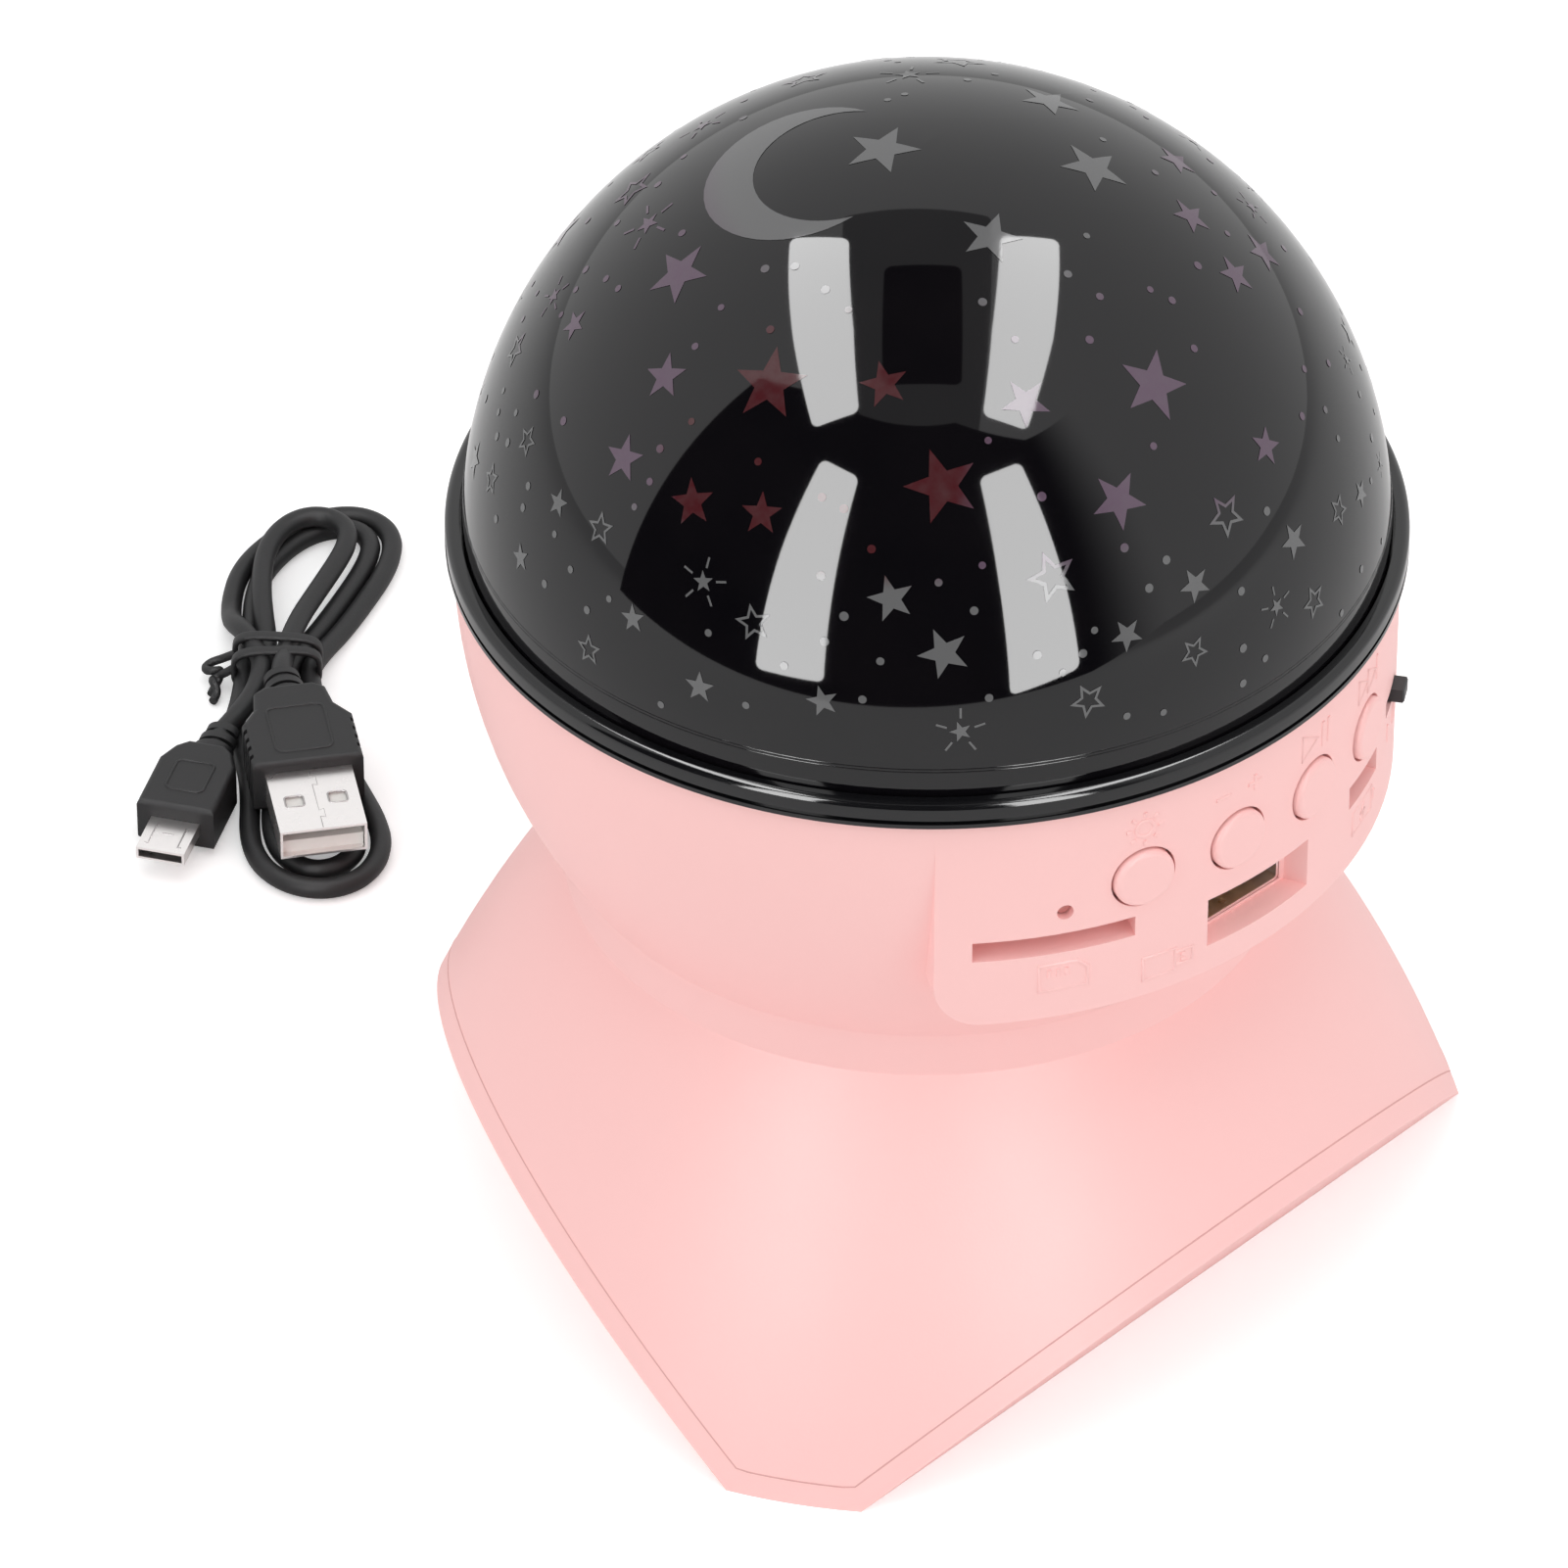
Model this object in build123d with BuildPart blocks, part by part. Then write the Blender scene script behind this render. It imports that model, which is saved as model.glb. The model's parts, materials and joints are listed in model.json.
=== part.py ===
"""Star night light projector with its charging cable, in millimetres, +Z up.

The origin is on the lamp's axis, in the plane of the base. The control panel faces -Y. A bowl
with a moulded panel sits on a three-footed bell pedestal. A smoked dome turns on the bowl,
driven through an internal ring gear by a small geared motor under the white deck.
"""
import os
from math import atan, cos, pi, radians, sin, sqrt, tan

from build123d import *

os.makedirs("parts", exist_ok=True)

# ---- Driving dimensions -------------------------------------------------------------------
# Bowl housing
bowl_radius = 60.5
bowl_arc_radius = 75.0
bowl_arc_height = 100.5
bowl_rim_height = 102.2
housing_wall = 2.0
bowl_floor = 2.4
neck_height = 58.3
neck_step = 0.5
wire_hole_radius = 12.0

# Dome and trim ring
dome_inset = 1.1
dome_rise = 1.4
dome_wall = 1.6
dome_skirt = 0.5
trim_overhang = 1.0
trim_height = 3.6
trim_inner_drop = 1.0
trim_seat_width = 3.0
trim_fillet = 1.0
trim_groove_depth = 0.5
trim_groove_height = 0.6
trim_groove_rise = 0.9
trim_seat_clearance = 0.25

# Clearances used all over
turning_gap = 0.3
running_clearance = 0.05
press_clearance = 0.02
part_clearance = 0.15
socket_clearance = 0.2
cut_spare = 1.0

# Control panel boss on the bowl
panel_half_angle = 46.0
panel_bottom_height = 70.3
panel_side_draft = 32.0
panel_inner_depth = 30.5
panel_corner_radius = 6.0

# Pedestal bell
foot_circle_radius = 73.0
foot_chord = 17.85
foot_count = 3
hem_rise = 1.37
bell_mid_height = 25.0
bell_mid_radius = 62.78
bell_crease_drop = 6.9
bell_wall = 2.2
top_plate = 2.4

# Base cover
cover_thickness = 3.0
lip_height = 2.5
lip_thickness = 1.8
lip_clearance = 0.3
grille_hole_radius = 1.2
grille_pitch = 4.5
grille_ring_count = 2
pad_radius = 6.0
pad_thickness = 1.2
pad_edge_distance = 11.0

# Turntable drive
ring_teeth = 80
pinion_teeth = 16
pressure_angle = 20.0
gear_backlash = 0.16
tooth_addendum = 0.9
tooth_dedendum = 1.2
tooth_root_sink = 0.3
gear_side_gap = 2.0
gear_rim = 8.5
gear_thickness = 3.0
track_wall = 6.0
track_height = 2.4
roller_radius = 5.0
roller_thickness = 1.8
roller_chamfer = 0.3
roller_gap = 0.1
roller_count = 3
roller_pin_radius = 1.5
pin_head_radius = 2.3
pin_head_height = 0.5
shaft_radius = 1.5
shaft_depth = 7.0
shaft_hole_clearance = 1.0

# Deck, light and motor
deck_height = 95.0
deck_thickness = 1.6
deck_edge_gap = 1.7
motor_radius = 12.0
motor_length = 12.0
motor_fillet = 0.8
motor_ear_spacing = 31.0
motor_ear_thickness = 1.6
light_post_radius = 8.0
light_post_height = 15.4
light_post_wall = 3.0
light_post_foot = 3.0
light_board_radius = 13.0
light_board_thickness = 1.2
lead_hole_radius = 1.0
diffuser_height = 12.0
diffuser_wall = 1.0
diffuser_inset = 0.6
diffuser_fillet = 6.0
led_radius = 2.5
led_height = 3.2
led_circle_radius = 5.5
led_count = 3

# Panel keys
key_names = ("light", "dimmer", "play", "skip")
key_angle_step = 13.55
key_height = 89.4
key_hole_radius = 4.5
key_cap_radius = 4.15
key_fillet = 0.7
key_proud = 0.8
key_flange_radius = 4.9
key_flange_depth = 0.9
key_stem_radius = 2.3
key_stem_length = 1.6
key_travel = 0.6
tact_body = 6.0
tact_depth = 3.5
tact_plunger_radius = 1.5
plunger_gap = 1.4
plunger_engagement = 1.2

# Card slot and its reader
card_angle = -31.4
card_height = 81.9
card_slot_width = 21.2
card_slot_height = 3.0
card_window_width = 13.2
card_window_height = 1.4
card_stop_thickness = 0.8
reader_width = 16.0
reader_depth = 12.0
reader_thickness = 3.0
reader_slit_width = 12.2
reader_slit_height = 1.0
reader_back_wall = 1.5

# Recesses and metal sockets
socket_sleeve_wall = 0.9
socket_recess_depth = 3.5
sleeve_depth = 6.0
shell_sheet = 0.35
usb_angle = -2.6
usb_height = 78.0
usb_mouth_width = 18.6
usb_mouth_height = 7.4
usb_floor_width = 15.4
usb_floor_height = 7.0
usb_shell_width = 13.2
usb_shell_height = 5.7
usb_shell_depth = 14.0
usb_shell_corner = 0.8
usb_tab_width = 2.0
usb_tab_length = 4.0
usb_tab_back = 2.0
usb_tongue_width = 11.1
usb_tongue_thickness = 1.9
usb_tongue_rise = 0.75
usb_block_depth = 3.5
usb_contact_count = 4
usb_contact_width = 1.1
usb_contact_pitch = 2.3
usb_contact_thickness = 0.3
micro_angle = 20.1
micro_height = 81.3
micro_mouth_width = 9.5
micro_mouth_height = 3.5
micro_floor_width = 8.6
micro_floor_height = 3.2
micro_shell_width = 7.5
micro_shell_height = 2.6
micro_shell_depth = 6.6
micro_back_wall = 1.2
micro_tongue_width = 3.8
micro_tongue_thickness = 0.6

# Indicator and slide switch
indicator_angle = -30.3
indicator_height = 86.7
indicator_radius = 1.1
pipe_recess = 1.0
pipe_flange_radius = 1.8
pipe_flange_thickness = 1.0
switch_angle = 32.0
switch_height = 85.5
switch_slot_length = 7.0
switch_slot_height = 2.6
switch_slot_corner = 0.4
switch_travel = 3.0
switch_nub_length = 3.0
switch_nub_height = 2.0
switch_nub_proud = 1.7
switch_nub_chamfer = 0.2
switch_flange_length = 9.0
switch_flange_thickness = 0.8
switch_body_length = 11.2
switch_body_height = 3.0
switch_body_depth = 4.4
switch_shelf_depth = 7.5
switch_shelf_thickness = 0.8

# Boards
main_board_top = 80.0
main_board_back = 19.0
main_board_gap = 1.5
board_thickness = 1.6
board_post_radius = 3.0
board_post_angle = 47.9
key_board_gap = 1.9
key_board_depth = 8.6
key_board_half_angle = 27.0
spacer_angle = 15.5
spacer_radius = 1.8
spacer_edge_distance = 2.0

# Screws
screw_radius = 1.5
screw_head_radius = 2.7
screw_head_height = 1.6
screw_clearance = 0.2
screw_boss_radius = 3.5
deck_screw_grip = 8.0
board_screw_grip = 6.0
base_screw_grip = 10.0
motor_screw_head_height = 1.2
deck_post_edge_distance = 18.1
housing_screw_edge_distance = 11.0
housing_boss_height = 8.0
base_screw_edge_distance = 23.0

# Speaker and battery on the base cover
speaker_offset = 14.0
speaker_radius = 22.5
speaker_flange = 1.0
gasket_thickness = 1.0
gasket_width = 3.0
basket_height = 9.0
basket_sheet = 1.0
cone_thickness = 0.8
cone_drop = 4.0
dust_cap_drop = 2.0
magnet_radius = 12.0
magnet_height = 7.0
magnet_chamfer = 0.8
cell_radius = 9.2
cell_length = 50.0
cell_chamfer = 0.6
cell_offset = 25.0
cradle_floor = 1.5
cradle_wall = 1.5
cradle_end = 2.0
cradle_height = 9.0

# Charging cable, lying beside the lamp
cord_diameter = 2.9
hank_right = 10.9
hank_back = 129.8
hank_turn = -47.3
tie_thickness = 0.9
tie_width = 6.4
tie_centre = 4.6
tie_tail_length = 5.0
tie_tail_width = 2.0
waist_width = 11.0
waist_front = -2.9
waist_back = 10.0
waist_offset = -2.6

# Plugs on the cable
relief_collars = 3
plug_fillet = 0.8
usb_heading = -78.2
usb_plug_thickness = 8.0
usb_plug_width = 15.4
usb_shoulder_width = 11.2
usb_neck_width = 6.8
usb_relief_length = 6.6
usb_relief_radius = 1.9
usb_collar_pitch = 2.2
usb_collar_width = 1.3
usb_grip_length = 17.7
grip_cut_count = 4
grip_cut_pitch = 1.9
grip_cut_width = 0.8
grip_cut_depth = 0.5
grip_cut_setback = 5.2
usb_tip_length = 13.2
usb_tip_width = 12.0
usb_tip_height = 4.5
latch_hole_length = 2.3
latch_hole_width = 2.5
latch_hole_spacing = 6.0
micro_heading = -104.4
micro_plug_thickness = 6.8
micro_plug_width = 11.0
micro_neck_width = 5.2
micro_relief_length = 7.4
micro_relief_radius = 1.5
micro_collar_pitch = 2.4
micro_collar_width = 1.4
micro_grip_length = 15.0
micro_tip_length = 7.0
micro_tip_width = 6.9
micro_tip_height = 1.9

# ---- Shapes shared by several pieces ------------------------------------------------------
bowl_arc_centre = bowl_radius - bowl_arc_radius
dome_radius = bowl_radius - dome_inset
dome_centre_height = bowl_rim_height + turning_gap + dome_rise
trim_outer_radius = bowl_radius + trim_overhang
gear_outer_radius = bowl_radius - housing_wall - gear_side_gap
gear_module = 2 * (gear_outer_radius - gear_rim) / ring_teeth
track_radius = gear_outer_radius - track_wall
deck_radius = bowl_radius - housing_wall - deck_edge_gap
deck_post_circle = bowl_radius - deck_post_edge_distance
socket_floor_distance = bowl_radius - socket_recess_depth
sleeve_inner_distance = bowl_radius - sleeve_depth
sleeve_outer_distance = bowl_radius - 0.75 * housing_wall
main_board_radius = sleeve_inner_distance - main_board_gap
key_board_outer_radius = sleeve_inner_distance - key_board_gap
key_board_inner_radius = key_board_outer_radius - key_board_depth
switch_shelf_distance = bowl_radius - switch_shelf_depth
panel_inner_offset = bowl_radius - panel_inner_depth
base_screw_circle = foot_circle_radius - base_screw_edge_distance
pad_offset = foot_circle_radius - pad_edge_distance
foot_half_angle = 180 / pi * (foot_chord / 2 / foot_circle_radius)
hem_distance = foot_circle_radius * cos(radians(180 / foot_count - foot_half_angle))
feet = [90 + 360 / foot_count * i for i in range(foot_count)]
hems = [foot + 180 / foot_count for foot in feet]
ring_pitch_radius = gear_module * ring_teeth / 2
pinion_pitch_radius = gear_module * pinion_teeth / 2
pinion_offset = ring_pitch_radius - pinion_pitch_radius
trim_bottom = bowl_rim_height + turning_gap
gear_bottom = trim_bottom - gear_thickness
track_bottom = gear_bottom - track_height
deck_top = deck_height + deck_thickness
roller_bottom = deck_top + turning_gap
roller_offset = track_radius - roller_radius - roller_gap
roller_angles = [-90 + 360 / roller_count * i for i in range(roller_count)]
light_top = deck_top + light_post_height
key_angles = [key_angle_step * (i - (len(key_names) - 1) / 2) for i in range(len(key_names))]


def bowl_reach(height, inset=0.0):
    """Radius of the bowl's arc at a height, moved inwards by an inset."""
    drop = bowl_arc_height - height
    return bowl_arc_centre + sqrt((bowl_arc_radius - inset) ** 2 - drop**2)


neck_radius = bowl_reach(neck_height) - neck_step
housing_screw_circle = neck_radius - housing_screw_edge_distance


def bowl_blank(bottom, top, inset):
    """Solid of revolution under the bowl's arc, from a bottom height to a top height."""
    reach = bowl_radius - inset
    middle = (bottom + bowl_arc_height) / 2
    with BuildPart() as blank:
        with BuildSketch(Plane.XZ):
            with BuildLine():
                Line((0, top), (0, bottom))
                Line((0, bottom), (bowl_reach(bottom, inset), bottom))
                ThreePointArc(
                    (bowl_reach(bottom, inset), bottom),
                    (bowl_reach(middle, inset), middle),
                    (reach, bowl_arc_height),
                )
                Polyline((reach, bowl_arc_height), (reach, top), (0, top))
            make_face()
        revolve(axis=Axis.Z)
    return blank.part


def panel_blank(inset, top):
    """Sector behind the control panel, with drafted sides and rounded lower corners."""
    bottom = panel_bottom_height + inset
    edge_x = bowl_radius * sin(radians(panel_half_angle))
    edge_y = bowl_radius * cos(radians(panel_half_angle))
    draft = tan(radians(panel_side_draft))
    side_inset = inset / cos(radians(panel_side_draft))
    outer_y = bowl_radius + housing_wall
    inner_x = edge_x - (edge_y - panel_inner_offset) * draft - side_inset
    outer_x = edge_x + (outer_y - edge_y) * draft - side_inset
    with BuildPart() as blank:
        with BuildSketch(Plane.XY.offset(bottom)):
            Circle(bowl_radius - inset)
            with BuildLine():
                Polyline(
                    (-inner_x, -panel_inner_offset),
                    (-outer_x, -outer_y),
                    (outer_x, -outer_y),
                    (inner_x, -panel_inner_offset),
                    close=True,
                )
            make_face(mode=Mode.INTERSECT)
        extrude(amount=top - bottom)
        floor_edges = blank.edges().group_by(Axis.Z)[0].filter_by(GeomType.LINE)
        fillet(floor_edges.filter_by(Axis.X, reverse=True), panel_corner_radius - inset)
    return blank.part


def panel_plane(angle, height, distance):
    """Plane on the panel, facing outwards, with its local Y upwards."""
    outward = Vector(sin(radians(angle)), -cos(radians(angle)), 0)
    sideways = Vector(cos(radians(angle)), sin(radians(angle)), 0)
    return Plane(outward * distance + Vector(0, 0, height), x_dir=sideways, z_dir=outward)


def hem_plane(direction, lift):
    """Slanted plane of one hem, through the chord between two feet, lifted along its normal."""
    rise = sqrt(1 + hem_rise**2)
    outward = Vector(cos(radians(direction)), sin(radians(direction)), 0)
    upward = outward * (-hem_rise / rise) + Vector(0, 0, 1 / rise)
    return Plane(outward * hem_distance + upward * lift, z_dir=upward)


def bell_blank(inset, lift):
    """Bell of revolution cut by its three hems, all lifted, and moved in by an inset."""
    bell_top = neck_height if inset == 0 else neck_height - top_plate
    curve_top = neck_height - bell_crease_drop
    with BuildPart() as blank:
        with BuildSketch(Plane.XZ):
            with BuildLine():
                Line((0, bell_top), (0, 0))
                Line((0, 0), (foot_circle_radius - inset, 0))
                ThreePointArc(
                    (foot_circle_radius - inset, 0),
                    (bell_mid_radius - inset, bell_mid_height),
                    (neck_radius - inset, curve_top),
                )
                Polyline(
                    (neck_radius - inset, curve_top), (neck_radius - inset, bell_top), (0, bell_top)
                )
            make_face()
        revolve(axis=Axis.Z)
        for direction in hems:
            split(bisect_by=hem_plane(direction, lift), keep=Keep.TOP)
        split(bisect_by=Plane.XY.offset(lift), keep=Keep.TOP)
    return blank.part


# ---- Bowl housing -------------------------------------------------------------------------
# One moulding: the bowl, the raised panel, its socket sleeves, and the posts for deck and screws.
deck_posts = [(deck_post_circle, angle) for angle in (-19.3, 45.0, 135.0, 199.3)]
board_post_x = deck_post_circle * sin(radians(board_post_angle))
board_post_y = -deck_post_circle * cos(radians(board_post_angle))
middle_post_y = -main_board_back - 2 * board_post_radius
board_posts = [(0, middle_post_y), (-board_post_x, board_post_y), (board_post_x, board_post_y)]
housing_screw_angles = (30, 150, 270)

with BuildPart() as bowl_housing:
    add(bowl_blank(neck_height, bowl_rim_height, 0))
    add(panel_blank(0, bowl_rim_height))
    add(bowl_blank(neck_height + bowl_floor, bowl_rim_height, housing_wall), mode=Mode.SUBTRACT)
    add(panel_blank(housing_wall, bowl_rim_height), mode=Mode.SUBTRACT)
    # Sleeves that carry the socket recesses inwards behind the panel.
    for angle, height, width, tall in (
        (card_angle, card_height, card_slot_width, card_slot_height),
        (usb_angle, usb_height, usb_mouth_width, usb_mouth_height),
        (micro_angle, micro_height, micro_mouth_width, micro_mouth_height),
    ):
        with BuildSketch(panel_plane(angle, height, sleeve_inner_distance)):
            Rectangle(width + 2 * socket_sleeve_wall, tall + 2 * socket_sleeve_wall)
        extrude(amount=sleeve_outer_distance - sleeve_inner_distance)
    # Shelf under the slide switch.
    with BuildSketch(panel_plane(switch_angle, switch_height, switch_shelf_distance)):
        with Locations((0, -switch_body_height / 2 - switch_shelf_thickness / 2)):
            Rectangle(switch_body_length, switch_shelf_thickness)
    extrude(amount=sleeve_outer_distance - switch_shelf_distance)
    # Posts under the deck and under the main board, and bosses for the housing screws.
    with BuildSketch(Plane.XY.offset(neck_height + bowl_floor)):
        for reach, angle in deck_posts:
            with Locations((reach * cos(radians(angle)), reach * sin(radians(angle)))):
                Circle(screw_boss_radius)
    extrude(amount=deck_height - neck_height - bowl_floor)
    with BuildSketch(Plane.XY.offset(neck_height + bowl_floor)):
        with Locations(*board_posts):
            Circle(board_post_radius)
    extrude(amount=main_board_top - board_thickness - neck_height - bowl_floor)
    with BuildSketch(Plane.XY.offset(neck_height + bowl_floor)):
        for angle in housing_screw_angles:
            with PolarLocations(housing_screw_circle, 1, angle):
                Circle(screw_boss_radius)
    extrude(amount=housing_boss_height)
    # Holes: wires through the floor, screws, keys, indicator and switch slot.
    with BuildSketch(Plane.XY.offset(neck_height)):
        Circle(wire_hole_radius)
    extrude(amount=bowl_floor, mode=Mode.SUBTRACT)
    with BuildSketch(Plane.XY.offset(neck_height)):
        for angle in housing_screw_angles:
            with PolarLocations(housing_screw_circle, 1, angle):
                Circle(screw_radius + running_clearance)
    extrude(amount=bowl_floor + housing_boss_height - cut_spare, mode=Mode.SUBTRACT)
    with BuildSketch(Plane.XY.offset(deck_height)):
        for reach, angle in deck_posts:
            with Locations((reach * cos(radians(angle)), reach * sin(radians(angle)))):
                Circle(screw_radius + running_clearance)
    extrude(amount=-deck_screw_grip - cut_spare, mode=Mode.SUBTRACT)
    with BuildSketch(Plane.XY.offset(main_board_top - board_thickness)):
        with Locations(*board_posts):
            Circle(screw_radius + running_clearance)
    extrude(amount=-board_screw_grip - cut_spare, mode=Mode.SUBTRACT)
    for angle in key_angles:
        with BuildSketch(panel_plane(angle, key_height, sleeve_inner_distance)):
            Circle(key_hole_radius)
        extrude(amount=bowl_radius, mode=Mode.SUBTRACT)
    with BuildSketch(panel_plane(indicator_angle, indicator_height, sleeve_inner_distance)):
        Circle(indicator_radius)
    extrude(amount=bowl_radius, mode=Mode.SUBTRACT)
    with BuildSketch(panel_plane(switch_angle, switch_height, sleeve_inner_distance)):
        RectangleRounded(switch_slot_length, switch_slot_height, switch_slot_corner)
    extrude(amount=bowl_radius, mode=Mode.SUBTRACT)
    # Card slot: an open mouth, then a narrow window where the card enters its reader.
    card_stop = sleeve_inner_distance + card_stop_thickness
    with BuildSketch(panel_plane(card_angle, card_height, card_stop)):
        Rectangle(card_slot_width, card_slot_height)
    extrude(amount=bowl_radius, mode=Mode.SUBTRACT)
    with BuildSketch(panel_plane(card_angle, card_height, sleeve_inner_distance - cut_spare)):
        Rectangle(card_window_width, card_window_height)
    extrude(amount=card_stop_thickness + 2 * cut_spare, mode=Mode.SUBTRACT)
    # Socket recesses: flared mouths with a flat floor, and a window for each metal socket.
    for angle, height, mouth, floor_size, socket in (
        (
            usb_angle,
            usb_height,
            (usb_mouth_width, usb_mouth_height),
            (usb_floor_width, usb_floor_height),
            (usb_shell_width, usb_shell_height),
        ),
        (
            micro_angle,
            micro_height,
            (micro_mouth_width, micro_mouth_height),
            (micro_floor_width, micro_floor_height),
            (micro_shell_width, micro_shell_height),
        ),
    ):
        with BuildSketch(panel_plane(angle, height, socket_floor_distance)):
            Rectangle(*floor_size)
        with BuildSketch(panel_plane(angle, height, bowl_radius)):
            Rectangle(*mouth)
        loft(mode=Mode.SUBTRACT)
        with BuildSketch(panel_plane(angle, height, sleeve_inner_distance - cut_spare)):
            Rectangle(socket[0] + 2 * socket_clearance, socket[1] + 2 * socket_clearance)
        window_depth = socket_floor_distance - sleeve_inner_distance + 2 * cut_spare
        extrude(amount=window_depth, mode=Mode.SUBTRACT)
bowl_housing.part.label = "bowl_housing"
export_step(bowl_housing.part, "parts/bowl_housing.step")

# ---- Pedestal shell -----------------------------------------------------------------------
# The three-footed bell, with a top plate under the bowl and a post over each foot's screw.
with BuildPart() as base_posts:
    with BuildSketch(Plane.XY.offset(cover_thickness)):
        for foot in feet:
            with PolarLocations(base_screw_circle, 1, foot):
                Circle(screw_boss_radius)
    extrude(amount=neck_height - cover_thickness - top_plate)
    add(bell_blank(0, cover_thickness), mode=Mode.INTERSECT)

with BuildPart() as pedestal_shell:
    add(bell_blank(0, cover_thickness))
    add(bell_blank(bell_wall, 0), mode=Mode.SUBTRACT)
    add(base_posts.part)
    with BuildSketch(Plane.XY.offset(neck_height)):
        Circle(wire_hole_radius)
        for angle in housing_screw_angles:
            with PolarLocations(housing_screw_circle, 1, angle):
                Circle(screw_radius + screw_clearance)
    extrude(amount=-top_plate, mode=Mode.SUBTRACT)
    with BuildSketch(Plane.XY.offset(cover_thickness)):
        for foot in feet:
            with PolarLocations(base_screw_circle, 1, foot):
                Circle(screw_radius + running_clearance)
    extrude(amount=base_screw_grip + 2 * cut_spare, mode=Mode.SUBTRACT)
pedestal_shell.part.label = "pedestal_shell"
export_step(pedestal_shell.part, "parts/pedestal_shell.step")

# ---- Base cover ---------------------------------------------------------------------------
# Closes the pedestal: a flat floor, three slanted facets, a lip inside the shell and a grille.
with BuildPart() as cover_lip:
    add(bell_blank(bell_wall + lip_clearance, cover_thickness))
    add(bell_blank(bell_wall + lip_clearance + lip_thickness, 0), mode=Mode.SUBTRACT)
    add(bell_blank(0, cover_thickness + lip_height), mode=Mode.SUBTRACT)

with BuildPart() as base_cover:
    add(bell_blank(0, 0))
    add(bell_blank(0, cover_thickness), mode=Mode.SUBTRACT)
    add(cover_lip.part)
    with BuildSketch(Plane.XY):
        with Locations((0, -speaker_offset)):
            Circle(grille_hole_radius)
            for ring in range(1, grille_ring_count + 1):
                with PolarLocations(grille_pitch * ring, round(2 * pi * ring)):
                    Circle(grille_hole_radius)
        for foot in feet:
            with PolarLocations(base_screw_circle, 1, foot):
                Circle(screw_radius + screw_clearance)
    extrude(amount=cover_thickness, mode=Mode.SUBTRACT)
    with BuildSketch(Plane.XY):
        for foot in feet:
            with PolarLocations(base_screw_circle, 1, foot):
                Circle(screw_head_radius + screw_clearance)
    extrude(amount=screw_head_height, mode=Mode.SUBTRACT)
    with BuildSketch(Plane.XY):
        for foot in feet:
            with PolarLocations(pad_offset, 1, foot):
                Circle(pad_radius + part_clearance)
    extrude(amount=pad_thickness, mode=Mode.SUBTRACT)
base_cover.part.label = "base_cover"
export_step(base_cover.part, "parts/base_cover.step")

# Rubber pads, glued into round pockets under the feet.
with BuildPart() as foot_pads:
    with BuildSketch(Plane.XY):
        for foot in feet:
            with PolarLocations(pad_offset, 1, foot):
                Circle(pad_radius)
    extrude(amount=pad_thickness)
foot_pads.part.label = "foot_pads"
export_step(foot_pads.part, "parts/foot_pads.step")

# Screws up through the cover into the pedestal's posts.
with BuildPart() as base_screws:
    with BuildSketch(Plane.XY):
        for foot in feet:
            with PolarLocations(base_screw_circle, 1, foot):
                Circle(screw_head_radius)
    extrude(amount=screw_head_height)
    with BuildSketch(Plane.XY.offset(screw_head_height)):
        for foot in feet:
            with PolarLocations(base_screw_circle, 1, foot):
                Circle(screw_radius)
    extrude(amount=cover_thickness - screw_head_height + base_screw_grip)
base_screws.part.label = "base_screws"
export_step(base_screws.part, "parts/base_screws.step")

# Screws up through the pedestal's top plate into the bowl's bosses.
with BuildPart() as housing_screws:
    with BuildSketch(Plane.XY.offset(neck_height - top_plate)):
        for angle in housing_screw_angles:
            with PolarLocations(housing_screw_circle, 1, angle):
                Circle(screw_head_radius)
    extrude(amount=-screw_head_height)
    with BuildSketch(Plane.XY.offset(neck_height - top_plate)):
        for angle in housing_screw_angles:
            with PolarLocations(housing_screw_circle, 1, angle):
                Circle(screw_radius)
    extrude(amount=top_plate + bowl_floor + housing_boss_height - 2 * cut_spare)
housing_screws.part.label = "housing_screws"
export_step(housing_screws.part, "parts/housing_screws.step")

# ---- Trim ring and dome -------------------------------------------------------------------
# The gloss black ring turns just above the bowl's rim and holds the dome's foot in a channel.
channel_inner = dome_radius - dome_wall - trim_seat_clearance
channel_outer = dome_radius + trim_seat_clearance
channel_floor = dome_centre_height - dome_skirt
ring_inner_radius = gear_outer_radius - trim_seat_width
trim_top = trim_bottom + trim_height

with BuildPart() as trim_ring:
    with BuildSketch(Plane.XZ):
        with BuildLine():
            Polyline(
                (ring_inner_radius, trim_bottom),
                (trim_outer_radius, trim_bottom),
                (trim_outer_radius, trim_top),
                (channel_outer, trim_top),
                (channel_outer, channel_floor),
                (channel_inner, channel_floor),
                (channel_inner, trim_top - trim_inner_drop),
                (ring_inner_radius, trim_top - trim_inner_drop),
                close=True,
            )
        make_face()
    revolve(axis=Axis.Z)
    crown = trim_ring.edges().filter_by(GeomType.CIRCLE).group_by(Axis.Z)[-1].sort_by(SortBy.RADIUS)
    fillet(crown[-1], trim_fillet)
    with BuildSketch(Plane.XZ):
        with Locations((trim_outer_radius, trim_bottom + trim_groove_rise)):
            Rectangle(2 * trim_groove_depth, trim_groove_height)
    revolve(axis=Axis.Z, mode=Mode.SUBTRACT)
trim_ring.part.label = "trim_ring"
export_step(trim_ring.part, "parts/trim_ring.step")

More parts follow.
